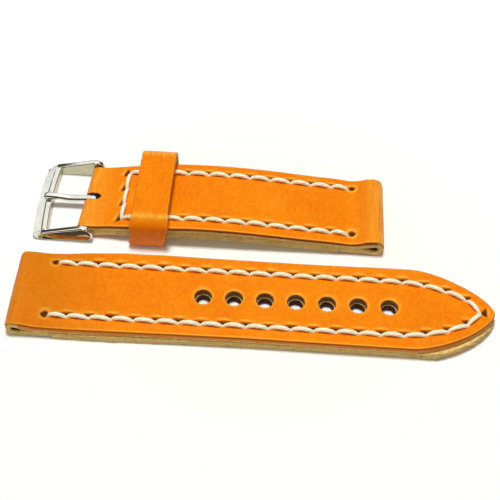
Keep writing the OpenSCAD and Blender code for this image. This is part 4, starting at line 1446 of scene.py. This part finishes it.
def add_floor():
    """White table: its colour keeps the shadows. Only the camera and mirrors see the glow that whitens it."""
    bpy.ops.mesh.primitive_plane_add(size=6, location=(0, 0, -0.02 * MM))
    floor = bpy.context.object
    floor.name = "floor"
    n = Nodes("floor")
    n.set(Base_Color=FLOOR_WHITE, Roughness=0.9, Specular_IOR_Level=0.1)
    rays = n.add("LightPath").outputs
    seen = n.math("MAXIMUM", rays["Is Camera Ray"], rays["Is Glossy Ray"])
    seen = n.math("MAXIMUM", seen, rays["Is Transmission Ray"])
    place = n.add("TexCoord").outputs["Object"]
    away = n.add("VectorMath", {0: place}, operation="LENGTH").outputs["Value"]
    glow = GLOW_BASE
    for low, high, amount in (GLOW_AROUND, GLOW_BEYOND_LAMP):
        glow = n.math("ADD", glow, n.math("MULTIPLY", n.between(away, low, high), amount))
    light = n.add("Emission", {"Color": GLOW_BLUE, "Strength": n.math("MULTIPLY", seen, glow)})
    both = n.add("AddShader", {0: n.shader.outputs[0], 1: light.outputs[0]})
    n.put(n.tree.nodes["Material Output"].inputs["Surface"], both.outputs[0])
    floor.data.materials.append(n.material)


FILL_BACK, FILL_FRONT = (0.1, 0.1, 0.08, 1), (0.33, 0.325, 0.265, 1)
ROOM_DARK, ROOM_STRENGTH = (0.075, 0.052, 0.034, 1), 1.15
LAMP_AT, LAMP_SIZE, LAMP_WATTS = Vector((-0.02, 0.07, 0.69)), 0.16, 3.9


def add_lights():
    """One soft lamp overhead, and a room for polished metal to show: white, with a dark band low down."""
    world = bpy.data.worlds.new("studio")
    bpy.context.scene.world = world
    world.use_nodes = True
    n = Nodes("studio", world.node_tree)
    rays = n.add("LightPath").outputs
    _, y, z = n.add("SeparateXYZ", {0: n.add("TexCoord").outputs["Generated"]}).outputs
    fill = n.tree.nodes["Background"].outputs[0]
    n.put(fill.node.inputs["Color"], n.ramp(n.between(y, 0.7, -0.7), (0.0, FILL_BACK), (1.0, FILL_FRONT)))
    low = n.math("MULTIPLY", n.between(z, 0.0, 0.04), n.between(z, 0.6, 0.52))
    behind = n.math("MULTIPLY", n.between(y, -0.25, -0.4), n.between(z, 0.9, 0.8))
    walls = n.ramp(n.math("MAXIMUM", low, behind), (0.0, 1.0), (1.0, ROOM_DARK))
    room = n.add("Background", {"Color": walls, "Strength": ROOM_STRENGTH}).outputs[0]
    white = n.add("Background", {"Color": (1, 1, 1, 1), "Strength": 1.0}).outputs[0]
    reflected = n.add("MixShader", {0: rays["Is Glossy Ray"], 1: fill, 2: room}).outputs[0]
    straight = n.math("MAXIMUM", rays["Is Camera Ray"], rays["Is Transmission Ray"])
    surface = n.add("MixShader", {0: straight, 1: reflected, 2: white}).outputs[0]
    n.put(n.tree.nodes["World Output"].inputs["Surface"], surface)
    data = bpy.data.lights.new("overhead", "AREA")
    data.shape = "RECTANGLE"
    data.size = data.size_y = LAMP_SIZE
    data.energy = LAMP_WATTS
    lamp = linked("overhead", data)
    lamp.location = LAMP_AT
    lamp.rotation_euler = (-LAMP_AT).to_track_quat("-Z", "Y").to_euler()


bpy.context.scene.view_settings.view_transform = "Standard"
add_camera()
add_floor()
add_lights()
build_long_skin()
build_long_lining()
build_stitching(
    "long_thread", LONG_HOLES, LONG_PULL, long_top, lambda x: 0 * x, LONG_AT, "long_half", "long_stitching"
)
build_long_fibres()
build_short_skin()
build_short_lining()
build_stitching(
    "short_thread", SHORT_HOLES, SHORT_PULL, short_top, lift, SHORT_AT, "short_half", "short_stitching"
)
build_short_fibres()
build_keeper()
build_keeper_thread()
add_metal("buckle_body", "buckle_frame", buckle_mesh(), 0.42, 40, "buckle", polish_frame)
add_metal("tongue_body", "buckle_tongue", cad_copy("buckle_tongue"), 0.34, 30, "tongue", polish_tongue)
dress_spring_bar()
